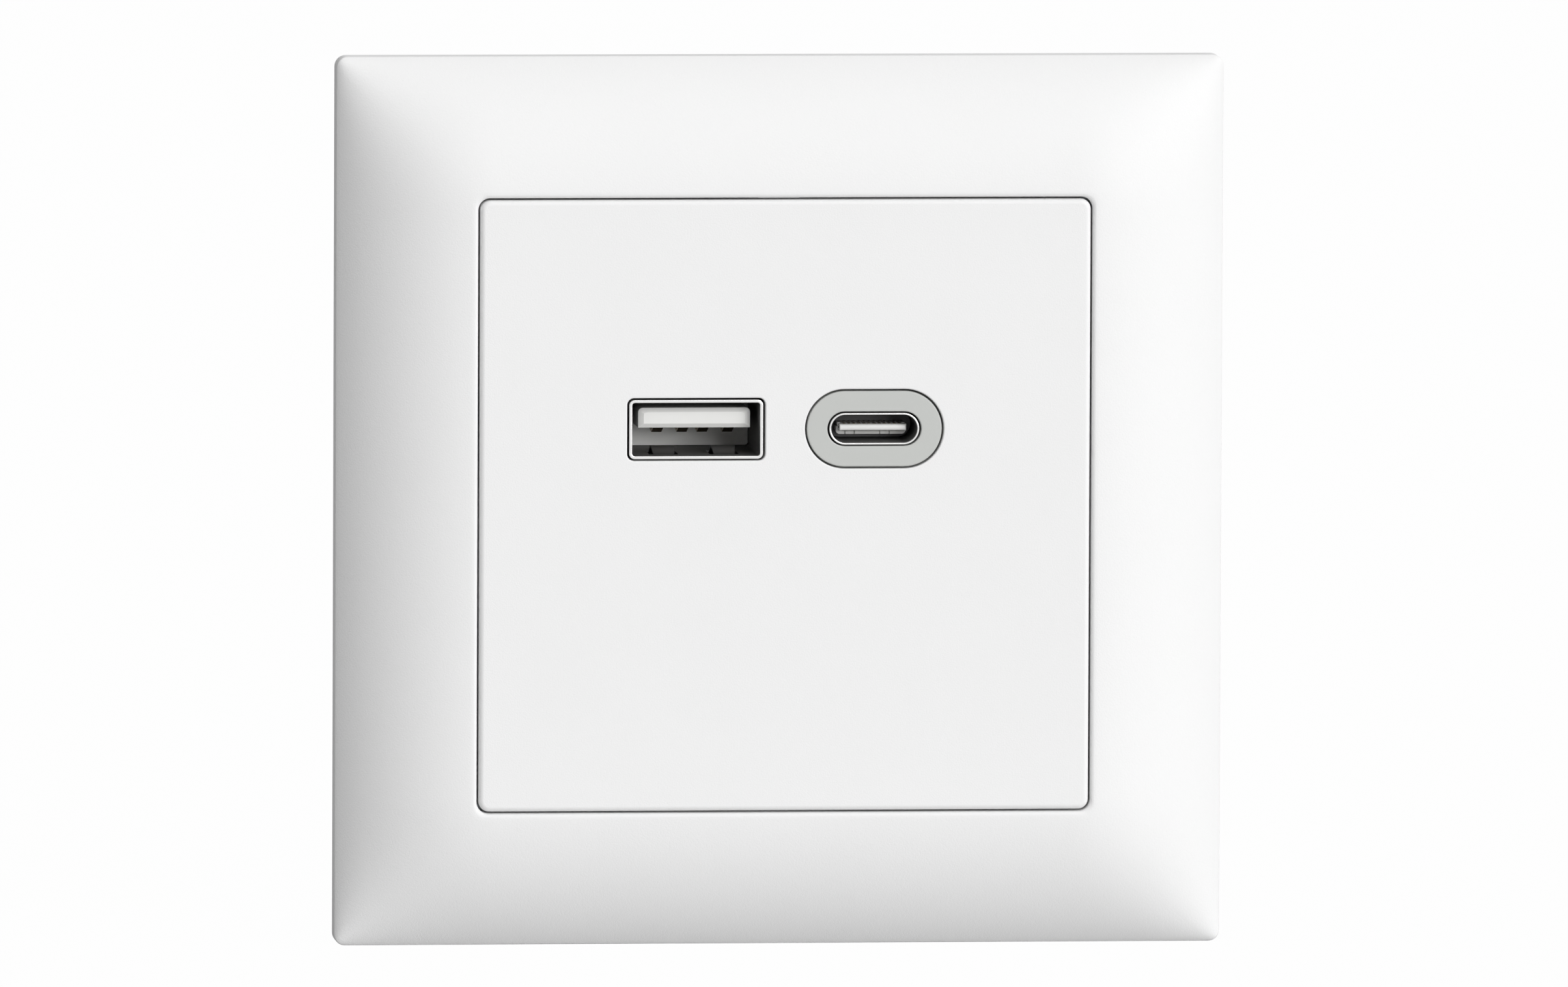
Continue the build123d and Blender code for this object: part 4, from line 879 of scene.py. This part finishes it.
def solder_legs(centre, width, sheet, half):
    """The two legs that a port's shell stands on the board with, one behind each side."""
    return [
        block(
            "leg",
            centred(middle, sheet / 2),
            (LEG_LEVEL, BOARD_LEVEL + sheet),
            centred(centre[1], half),
        )
        for middle in centred(centre[0], (width - sheet) / 2)
    ]


def make_type_a_shell():
    shell = rounded_block("type_a_shell", PORT_A, A_OUTER, A_CORNER, (BOARD_LEVEL, PORT_LEVEL))
    tube(shell, A_SHEET)
    soften(shell, A_EDGE)
    for wall in (-1, 1):
        height = centred(PORT_A[1] + wall * (A_INNER[1] + A_SHEET) / 2, A_SHEET)
        for x in (-A_FINGER_X, A_FINGER_X):
            cut(shell, block("slot", centred(PORT_A[0] + x, A_SLOT_HALF), A_SLOT_LEVELS, height))
            fuse(shell, spring_finger(wall, x))
    fuse(shell, *solder_legs(PORT_A, A_OUTER[0], A_SHEET, A_LEG_HALF))
    merge_close(shell)
    finish_piece(shell, nickel_steel, "shell_nickel", "usb_a_shell")


A_BODY = (12.5, 5.1)
A_BODY_LEVELS = (-5.0, -3.3)
A_BODY_CORNER = 0.3
A_TONGUE_HALF = 5.55
A_TONGUE_HEIGHTS = (0.0, 1.97)
A_TONGUE_LEVELS = (-4.0, 6.52, 6.8)
A_TONGUE_NOSE = (0.9, 0.575)
A_TONGUE_ROUND = 0.45
A_TONGUE_EDGE = 0.06
A_CONTACT_PLACES = (-3.5, -1.0, 1.0, 3.5)
A_GROOVE_HALF = 0.6
A_GROOVE_ROOF = 0.41
A_GROOVE_END = 6.38


def make_type_a_tongue():
    x, z = PORT_A
    low, high = (z + height for height in A_TONGUE_HEIGHTS)
    tongue = block("type_a_tongue", centred(x, A_TONGUE_HALF), A_TONGUE_LEVELS[:2], (low, high))
    round_edges(tongue, lambda m, way: abs(way.y) > ALONG and m.z > high - NEAR, A_TONGUE_ROUND)
    pick(tongue, "FACE", lambda middle, normal: normal.y > ALONG)
    nose = at(0, A_TONGUE_LEVELS[2] - A_TONGUE_LEVELS[1], 0)
    bpy.ops.mesh.extrude_region_move(TRANSFORM_OT_translate={"value": nose})
    narrower = (A_TONGUE_NOSE[0], 1, A_TONGUE_NOSE[1])
    bpy.ops.transform.resize(value=narrower, center_override=at(x, 0, (low + high) / 2))
    close(tongue)
    soften(tongue, A_TONGUE_EDGE, segments=3, angle=25)
    levels = (A_BODY_LEVELS[1], A_GROOVE_END)
    height = (low - SPARE, z + A_GROOVE_ROOF)
    places = [centred(x + place, A_GROOVE_HALF) for place in A_CONTACT_PLACES]
    cut(tongue, joined([block("groove", place, levels, height) for place in places]))
    fuse(tongue, rounded_block("body", PORT_A, A_BODY, A_BODY_CORNER, A_BODY_LEVELS))
    finish_piece(tongue, port_nylon, "port_white", "usb_a_insulator")


C_OUTER = (8.92, 3.14)
C_SHEET = 0.19
C_LIP = 0.07
C_LEG_HALF = 0.55


def make_type_c_shell():
    shell = tube(oval_block("type_c_shell", PORT_C, C_OUTER, (BOARD_LEVEL, PORT_LEVEL)), C_SHEET)
    round_edges(shell, lambda m, way: m.y > PORT_LEVEL - NEAR, C_LIP)
    fuse(shell, *solder_legs(PORT_C, C_OUTER[0], C_SHEET, C_LEG_HALF))
    finish_piece(shell, nickel_steel, "shell_nickel", "usb_c_shell")


C_BODY = (8.34, 2.56)
C_BODY_LEVELS = (-5.0, 2.7)
# A little smaller than its steel plate and its contacts, which show at its faces
C_TONGUE = (6.66, 0.68)
C_TONGUE_TIP = 7.15
C_TONGUE_EDGE = 0.17
C_ROOT_HALF = 3.45
C_ROOT_DROP = 0.8
C_ROOT_LEVELS = (2.0, 5.2)
C_ROOT_CORNER = 0.35
C_NOTCH_PLACES = (-2.57, -1.64, 0.89, 1.82)
C_NOTCH_HALF = 0.05
C_NOTCH_DEPTH = 0.3
C_LATCH_DEPTH = 0.3
C_LATCH_LEVELS = (5.28, 6.08)


def make_type_c_tongue():
    x, z = PORT_C
    width, thickness = C_TONGUE
    tongue = block(
        "type_c_tongue",
        centred(x, width / 2),
        (C_BODY_LEVELS[1] - SPARE, C_TONGUE_TIP),
        centred(z, thickness / 2),
    )
    pick(tongue, "EDGE", lambda m, way: m.y > C_TONGUE_TIP - NEAR)
    bpy.ops.mesh.bevel(offset=C_TONGUE_EDGE * MM, segments=1, affect="EDGES")
    close(tongue)
    places = [centred(edge, C_LATCH_DEPTH) for edge in centred(x, width / 2)]
    cut(tongue, joined([block("latch", place, C_LATCH_LEVELS, centred(z, SPARE)) for place in places]))
    bottom = z - C_ROOT_DROP
    root = block("root", centred(x, C_ROOT_HALF), C_ROOT_LEVELS, (bottom, z))
    round_edges(root, lambda m, way: abs(way.y) > ALONG and m.z < bottom + NEAR, C_ROOT_CORNER)
    levels = (C_ROOT_LEVELS[1] - C_NOTCH_DEPTH, C_ROOT_LEVELS[1] + SPARE)
    height = (bottom - SPARE, z - thickness / 2)
    places = [centred(x + place, C_NOTCH_HALF) for place in C_NOTCH_PLACES]
    cut(root, joined([block("notch", place, levels, height) for place in places]))
    fuse(tongue, root, oval_block("body", PORT_C, C_BODY, C_BODY_LEVELS))
    finish_piece(tongue, white_nylon_shade_painted, "port_white", "usb_c_insulator")


# Support plate

SUPPORT_SIDE = 72.0
SUPPORT_CORNER = 3.0
SUPPORT_LEVELS = (0.0, 1.2)
SUPPORT_WINDOW = 46.2
SUPPORT_WINDOW_CHAMFER = 8.09
BOX_SCREW_PLACE = 30.0
BOX_SLOT = (7.6, 4.2)
MODULE_SCREW_PLACE = 22.1
MODULE_HOLE = 1.25
LUG_SPAN = (34.8, 36.0)
LUG_PLACE = 22.0
LUG_HALF = 5.0
LUG_TOP = 4.8
LUG_CORNER = 1.2
LUG_WINDOW_HALF = 3.7
LUG_WINDOW_LEVELS = (2.7, 4.1)
STAMPED_EDGE = 0.12


def module_holes():
    sides = centred(0, MODULE_SCREW_PLACE)
    return [round_bar("hole", (x, z), MODULE_HOLE, THROUGH) for x in sides for z in sides]


def support_lug():
    """One upright lug on the right, with the window that a hook of the border snaps into."""
    lug = block("lug", LUG_SPAN, (SUPPORT_LEVELS[0], LUG_TOP), centred(LUG_PLACE, LUG_HALF))
    round_edges(lug, lambda m, way: m.y > LUG_TOP - NEAR and abs(way.x) > ALONG, LUG_CORNER)
    span = (LUG_SPAN[0] - SPARE, LUG_SPAN[1] + SPARE)
    return cut(lug, block("window", span, LUG_WINDOW_LEVELS, centred(LUG_PLACE, LUG_WINDOW_HALF)))


def make_mounting_plate():
    size = (SUPPORT_SIDE, SUPPORT_SIDE)
    window = (SUPPORT_WINDOW, SUPPORT_WINDOW)
    plate = rounded_block("mounting_plate", (0, 0), size, SUPPORT_CORNER, SUPPORT_LEVELS)
    cut(plate, rounded_block("window", (0, 0), window, SUPPORT_WINDOW_CHAMFER, THROUGH, segments=1))
    for side in (-BOX_SCREW_PLACE, BOX_SCREW_PLACE):
        cut(plate, oval_block("slot", (side, 0), BOX_SLOT, THROUGH))
        cut(plate, oval_block("slot", (0, side), BOX_SLOT[::-1], THROUGH))
    cut(plate, *module_holes())
    lugs = [support_lug()]
    lugs.append(copied(lugs[0], "lug", shift=(0, 0, -2 * LUG_PLACE)))
    lugs += [copied(lug, "lug", mirror=True) for lug in lugs[:2]]
    fuse(plate, *lugs)
    soften(plate, STAMPED_EDGE)
    finish_piece(plate, zinc_steel, "zinc_steel", "support_plate")


# Case of the charger module

CASE_HALF = 22.1
CASE_CHAMFER = 7.5
# A chamfer grows shorter by this much for each millimetre that the outline moves inward
CHAMFER_SHRINK = 2 - sqrt(2)
CASE_WALL = 1.5
CASE_SPLIT = -10.0
CASE_BACK = -28.0
CASE_TOP = 4.1
CASE_EDGE = 0.6
MOULDED_EDGE = 0.15
FLANGE_SIDE = 52.2
FLANGE_CORNER = 3.0
FLANGE_LEVELS = (1.2, 2.7)
BOX_SCREW_ROOM = 4.5
NOTCH_DEPTH = 0.8
NOTCH_PLACE = 11.0
NOTCH_HALF = 3.25
NOTCH_SPARE = 0.1
CATCH_PLACE = 9.0
CATCH_HALF = 3.0
CATCH_LEVELS = (-8.85, -7.55)
CATCH_SPAN = (20.4, 21.6)
CATCH_ROOM = 0.2
LIP_INSETS = (1.65, 3.0)
ROOT_INSETS = (0.75, 2.2)
ROOT_LEVELS = (-11.9, -10.1)
LIP_ROOT = -12.0
LIP_TOP = -6.2
BACK_WALL = -26.5
TERMINAL_PLACE = (8.0, -11.9)
TERMINAL_WINDOW = (14.1, 10.5)
WINDOW_CORNER = 0.4
WINDOW_FRONT = -15.0
PANEL = (26.0, 9.0)
PANEL_PLACE = (0.0, 10.5)
PANEL_CORNER = 1.0
PANEL_DEPTH = 0.3
EJECTOR_RADIUS = 1.6
EJECTOR_DEPTH = 0.12
EJECTOR_PLACES = ((-16.0, 10.5), (16.0, 10.5), (-12.0, 0.5), (12.0, 0.5))


def case_bar(name, inset, out):
    """A bar with the case's outline, a square with cut corners, moved inward by an inset."""
    side = 2 * (CASE_HALF - inset)
    chamfer = CASE_CHAMFER - CHAMFER_SHRINK * inset
    return rounded_block(name, (0, 0), (side, side), chamfer, out, segments=1)


def case_ring(name, insets, out):
    return tube(case_bar(name, insets[0], out), insets[1] - insets[0])


def around(piece, name):
    """A piece on the right, and its copies above, on the left and below."""
    return [piece] + [copied(piece, name, turn) for turn in (90, 180, 270)]


def make_case_front():
    case = case_ring("case_front", (0, CASE_WALL), (CASE_SPLIT, CASE_TOP))
    flange = rounded_block("flange", (0, 0), (FLANGE_SIDE, FLANGE_SIDE), FLANGE_CORNER, FLANGE_LEVELS)
    cut(flange, case_bar("inside", CASE_WALL / 2, THROUGH))
    cut(flange, *around(round_bar("room", (BOX_SCREW_PLACE, 0), BOX_SCREW_ROOM, THROUGH), "room"))
    cut(flange, *module_holes())
    fuse(case, flange)
    for side in (-1, 1):
        for place in (-NOTCH_PLACE, NOTCH_PLACE):
            span = sorted((side * (CASE_HALF - NOTCH_DEPTH), side * (CASE_HALF + NOTCH_SPARE)))
            levels = (FLANGE_LEVELS[1], CASE_TOP + SPARE)
            cut(case, block("notch", span, levels, centred(place, NOTCH_HALF)))
    half = CATCH_HALF + CATCH_ROOM
    levels = (CATCH_LEVELS[0] - CATCH_ROOM, CATCH_LEVELS[1] + CATCH_ROOM)
    span = (CASE_HALF - 2 * CASE_WALL, CASE_HALF + SPARE)
    for place in (-CATCH_PLACE, CATCH_PLACE):
        cut(case, *around(block("window", span, levels, centred(place, half)), "window"))
    soften(case, MOULDED_EDGE)
    finish_piece(case, case_polycarbonate, "case_grey", "front_housing")


def make_case_back():
    case = case_bar("case_back", 0, (CASE_BACK, CASE_SPLIT))
    round_edges(case, lambda m, way: abs(way.y) > ALONG, CASE_EDGE)
    round_edges(case, lambda m, way: m.y < CASE_BACK + NEAR, CASE_EDGE)
    cut(case, case_bar("inside", CASE_WALL, (BACK_WALL, 0)))
    fuse(case, case_ring("root", ROOT_INSETS, ROOT_LEVELS))
    fuse(case, case_ring("lip", LIP_INSETS, (LIP_ROOT, LIP_TOP)))
    for place in (-CATCH_PLACE, CATCH_PLACE):
        catch = block("catch", CATCH_SPAN, CATCH_LEVELS, centred(place, CATCH_HALF))
        fuse(case, *around(catch, "catch"))
    for side in (-1, 1):
        centre = (side * TERMINAL_PLACE[0], TERMINAL_PLACE[1])
        levels = (THROUGH[0], WINDOW_FRONT)
        cut(case, rounded_block("window", centre, TERMINAL_WINDOW, WINDOW_CORNER, levels))
    levels = (THROUGH[0], CASE_BACK + PANEL_DEPTH)
    cut(case, rounded_block("panel", PANEL_PLACE, PANEL, PANEL_CORNER, levels))
    for place in EJECTOR_PLACES:
        cut(case, round_bar("ejector", place, EJECTOR_RADIUS, (THROUGH[0], CASE_BACK + EJECTOR_DEPTH)))
    soften(case, MOULDED_EDGE)
    finish_piece(case, case_polycarbonate, "case_grey", "rear_housing")


# Terminals and their release buttons

# The live pole's place, and the way from it to the neutral pole
LIVE_PLACE = (-TERMINAL_PLACE[0], TERMINAL_PLACE[1])
NEXT_POLE = (2 * TERMINAL_PLACE[0], 0, 0)
TERMINAL = (14.6, 11.0)
TERMINAL_LEVELS = (-26.5, -13.0)
NOSE = (13.8, 10.2)
NOSE_BACK = -28.6
NOSE_CORNER = 0.5
CHAMBER = (12.8, 9.2)
CHAMBER_CORNER = 0.3
CHAMBER_FLOOR = -21.6
WIRE_PLACE = (4.4, -1.8)
WIRE_BORE = 1.5
FUNNEL = 2.0
FUNNEL_DEPTH = 0.5
CHANNEL_RISE = 2.6
CHANNEL = (4.5, 3.2)
WIDE_CHANNEL = (6.1, 3.2)
CHANNEL_LEDGE = -24.0
BUTTON = (4.2, 2.9)
BUTTON_LEVELS = (-30.4, -18.2)
BUTTON_CORNER = 0.4
BUTTON_EDGE = 0.25
BUTTON_CREASE = 0.06
SHOULDER = (5.8, 2.8)
SHOULDER_CORNER = 0.2
SHOULDER_LEVELS = (-23.85, -21.85)
PUSH_SLOT = (2.9, 0.7)
PUSH_SLOT_DEPTH = 0.5


def wire_entry(centre):
    """What is cut away for one wire: a bore with a funnel at the back."""
    bore = round_bar("bore", centre, WIRE_BORE, (NOSE_BACK - SPARE, CHAMBER_FLOOR + SPARE))
    funnel = round_bar("funnel", centre, FUNNEL, (NOSE_BACK, NOSE_BACK + FUNNEL_DEPTH))
    pick(funnel, "VERT", lambda place: place.y > NOSE_BACK + FUNNEL_DEPTH / 2)
    narrow = WIRE_BORE / FUNNEL
    bpy.ops.transform.resize(value=(narrow, 1, narrow), center_override=at(centre[0], 0, centre[1]))
    pick(funnel, "FACE", lambda middle, normal: normal.y < -ALONG)
    bpy.ops.mesh.extrude_region_move(TRANSFORM_OT_translate={"value": at(0, -SPARE, 0)})
    close(funnel)
    return [bore, funnel]


def make_terminals():
    x, z = LIVE_PLACE
    live = rounded_block("terminal_live", LIVE_PLACE, TERMINAL, NOSE_CORNER, TERMINAL_LEVELS)
    levels = (NOSE_BACK, TERMINAL_LEVELS[0] + SPARE)
    fuse(live, rounded_block("nose", LIVE_PLACE, NOSE, NOSE_CORNER, levels))
    cut(live, rounded_block("chamber", LIVE_PLACE, CHAMBER, CHAMBER_CORNER, (CHAMBER_FLOOR, 0)))
    for entry in centred(x, WIRE_PLACE[0]):
        cut(live, *wire_entry((entry, z + WIRE_PLACE[1])))
    for size, back in ((CHANNEL, THROUGH[0]), (WIDE_CHANNEL, CHANNEL_LEDGE)):
        levels = (back, CHAMBER_FLOOR + SPARE)
        cut(live, rounded_block("channel", (x, z + CHANNEL_RISE), size, CHAMBER_CORNER, levels))
    soften(live, MOULDED_EDGE)
    neutral = copied(live, "terminal_neutral", shift=NEXT_POLE)
    finish_piece(live, terminal_nylon, "terminal_grey", "terminal_block_live")
    finish_piece(neutral, terminal_nylon, "terminal_grey", "terminal_block_neutral")


def make_release_buttons():
    place = (LIVE_PLACE[0], LIVE_PLACE[1] + CHANNEL_RISE)
    back = BUTTON_LEVELS[0]
    live = rounded_block("release_live", place, BUTTON, BUTTON_CORNER, BUTTON_LEVELS)
    round_edges(live, lambda m, way: m.y < back + NEAR, BUTTON_EDGE)
    fuse(live, rounded_block("shoulder", place, SHOULDER, SHOULDER_CORNER, SHOULDER_LEVELS))
    cut(live, oval_block("slot", place, PUSH_SLOT, (back - SPARE, back + PUSH_SLOT_DEPTH)))
    soften(live, BUTTON_CREASE)
    neutral = copied(live, "release_neutral", shift=NEXT_POLE)
    for pole, button in (("live", live), ("neutral", neutral)):
        node, body = f"release_button_{pole}", f"{pole}_release"
        finish_piece(button, button_nylon, "button_orange", node, body=body)


SPRING_HALF = 5.6
SPRING_SHEET = 0.4
# Heights of its foot, its top, its knee under the button and its tip, from the terminal's middle
SPRING_HEIGHTS = (-2.6, 4.4, 1.15, -3.4)
# How far out of the wall its front leg, its back leg and its tip lie
SPRING_LEVELS = (-13.4, -17.8, -15.4)
SPRING_BENDS = {"outer": 1.0, "inner": 0.6, "knee": 0.4}
SPRING_EDGE = 0.04
LEVEL_FACES = radians(1)


def make_clamp_springs():
    """Leaf springs, bent from one strip each, that the buttons press flatter."""
    x, z = LIVE_PLACE
    half = SPRING_SHEET / 2
    foot, top, knee, tip = (z + height for height in SPRING_HEIGHTS)
    front, back, end = SPRING_LEVELS
    live = block("spring_live", centred(x, SPRING_HALF), centred(front, half), (foot, top + half))
    pick(live, "FACE", lambda middle, normal: True)
    bpy.ops.mesh.bisect(plane_co=at(0, 0, top - half), plane_no=(0, 0, 1))
    upper = lambda middle, normal: normal.y < -ALONG and middle.z > top - half
    lower = lambda middle, normal: normal.z < -ALONG and middle.y < back + half
    for face, move in (
        (upper, (0, back - front + SPRING_SHEET, 0)),
        (upper, (0, -SPRING_SHEET, 0)),
        (lower, (0, 0, knee - top + half)),
        (lower, (0, end - back, tip - knee)),
    ):
        pick(live, "FACE", face)
        bpy.ops.mesh.extrude_region_move(TRANSFORM_OT_translate={"value": at(*move)})
    bpy.ops.mesh.select_all(action="SELECT")
    bpy.ops.mesh.dissolve_limited(angle_limit=LEVEL_FACES)
    close(live)
    for bend, height in (("outer", top + half), ("inner", top - half), ("knee", knee)):
        crease = lambda m, way: abs(way.x) > ALONG and abs(m.z - height) < NEAR
        round_edges(live, crease, SPRING_BENDS[bend])
    soften(live, SPRING_EDGE)
    neutral = copied(live, "spring_neutral", shift=NEXT_POLE)
    finish_piece(live, spring_steel, "spring_steel", "clamp_spring_live")
    finish_piece(neutral, spring_steel, "spring_steel", "clamp_spring_neutral")
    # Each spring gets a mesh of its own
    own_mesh(live)
    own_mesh(neutral)


make_border()
make_faceplate()
make_collar()
make_type_a_shell()
make_type_a_tongue()
make_type_c_shell()
make_type_c_tongue()
make_mounting_plate()
make_case_front()
make_case_back()
make_terminals()
make_release_buttons()
make_clamp_springs()


# Studio

AMBIENT = 0.317
AMBIENT_SIDE = 0.22
AMBIENT_RISE = 0.315
KEY = 0.775
KEY_AZIMUTH = 27.5
KEY_ELEVATION = 12.0
KEY_DISTANCE = 5.0
KEY_SIZE = 3.0
FLOOR_SIZE = 12.0
FLOOR_TONE = "#AEAEAE"
FLOOR_GLOW = 0.985
WHITE = "#FFFFFF"


def direction(azimuth, elevation):
    """The way from the object to a place round it: azimuth 0 is in front, 90 is to the right."""
    a, e = radians(azimuth), radians(elevation)
    return Vector((sin(a) * cos(e), -cos(a) * cos(e), sin(e)))


def seen_directly(tree):
    """1 for what the camera sees, straight, mirrored or through something clear, and 0 for light."""
    path = add_node(tree, "LightPath")
    seen = path.outputs["Is Camera Ray"]
    for ray in ("Is Glossy Ray", "Is Transmission Ray"):
        seen = add_node(tree, "Math", {0: seen, 1: path.outputs[ray]}, operation="MAXIMUM").outputs[0]
    return seen


def studio_world():
    """Even light from all round, weaker from the left, where a dark screen stands, and from below.

    The camera and reflections see a white room instead.
    """
    world = bpy.data.worlds.new("studio")
    bpy.context.scene.world = world
    tree = empty_tree(world)
    way = add_node(tree, "SeparateXYZ", {0: add_node(tree, "TexCoord").outputs["Generated"]})
    aside = add_node(
        tree, "Math", {0: way.outputs["X"], 1: AMBIENT_SIDE, 2: AMBIENT}, operation="MULTIPLY_ADD"
    )
    above = add_node(
        tree,
        "Math",
        {0: way.outputs["Z"], 1: AMBIENT_RISE, 2: aside.outputs[0]},
        operation="MULTIPLY_ADD",
    )
    level = add_node(tree, "Math", {0: above.outputs[0], 1: 0.0}, operation="MAXIMUM").outputs[0]
    light = add_node(tree, "Background", {"Color": linear(WHITE), "Strength": level})
    white = add_node(tree, "Background", {"Color": linear(WHITE), "Strength": 1.0})
    mix = add_node(tree, "MixShader", {0: seen_directly(tree), 1: light.outputs[0], 2: white.outputs[0]})
    add_node(tree, "OutputWorld", {"Surface": mix.outputs[0]})


def studio_floor():
    """Pale paper that keeps the shadow, and that the camera sees almost as white as the room."""
    bpy.ops.object.select_all(action="DESELECT")
    bpy.ops.mesh.primitive_plane_add(size=FLOOR_SIZE, location=(0, 0, cad_box[0].z))
    floor = bpy.context.active_object
    floor.name = "floor"
    material = bpy.data.materials.new("floor_white_paper")
    tree = empty_tree(material)
    paper = add_node(tree, "BsdfDiffuse", {"Color": linear(FLOOR_TONE)})
    glow = add_node(tree, "Emission", {"Color": linear(WHITE), "Strength": 1.0})
    share = add_node(tree, "Math", {0: seen_directly(tree), 1: FLOOR_GLOW}, operation="MULTIPLY")
    mix = add_node(tree, "MixShader", {0: share.outputs[0], 1: paper.outputs[0], 2: glow.outputs[0]})
    add_node(tree, "OutputMaterial", {"Surface": mix.outputs[0]})
    floor.data.materials.append(material)


def key_light():
    """A large round lamp in front, a little to the right and above."""
    lamp = bpy.data.lights.new("key", "AREA")
    lamp.shape = "DISK"
    lamp.size = KEY_SIZE
    # The power at which a white sheet that faces the lamp renders as this share of white
    lamp.energy = KEY * pi**2 * KEY_DISTANCE**2
    place = bpy.data.objects.new("key", lamp)
    bpy.context.scene.collection.objects.link(place)
    way = direction(KEY_AZIMUTH, KEY_ELEVATION)
    place.location = way * KEY_DISTANCE
    place.rotation_euler = way.to_track_quat("Z", "Y").to_euler()


# Camera

CAMERA_AZIMUTH = -5.5
CAMERA_ELEVATION = 4.85
CAMERA_DISTANCE = 3.0
CAMERA_AIM = at(-0.12, 9.0, 1.19)
CAMERA_ROLL = 0.235
VIEW_WIDTH = 154.65 * MM
SENSOR = 36.0


def camera():
    """The photograph's view: from far away, a little from the upper left."""
    data = bpy.data.cameras.new("camera")
    data.sensor_width = SENSOR
    data.lens = SENSOR * CAMERA_DISTANCE / VIEW_WIDTH
    place = bpy.data.objects.new("camera", data)
    bpy.context.scene.collection.objects.link(place)
    way = direction(CAMERA_AZIMUTH, CAMERA_ELEVATION)
    place.location = CAMERA_AIM + way * CAMERA_DISTANCE
    place.rotation_euler = way.to_track_quat("Z", "Y").to_euler()
    place.rotation_euler.rotate_axis("Z", radians(CAMERA_ROLL))
    bpy.context.scene.camera = place


studio_world()
studio_floor()
key_light()
camera()
bpy.context.scene.view_settings.view_transform = "Standard"
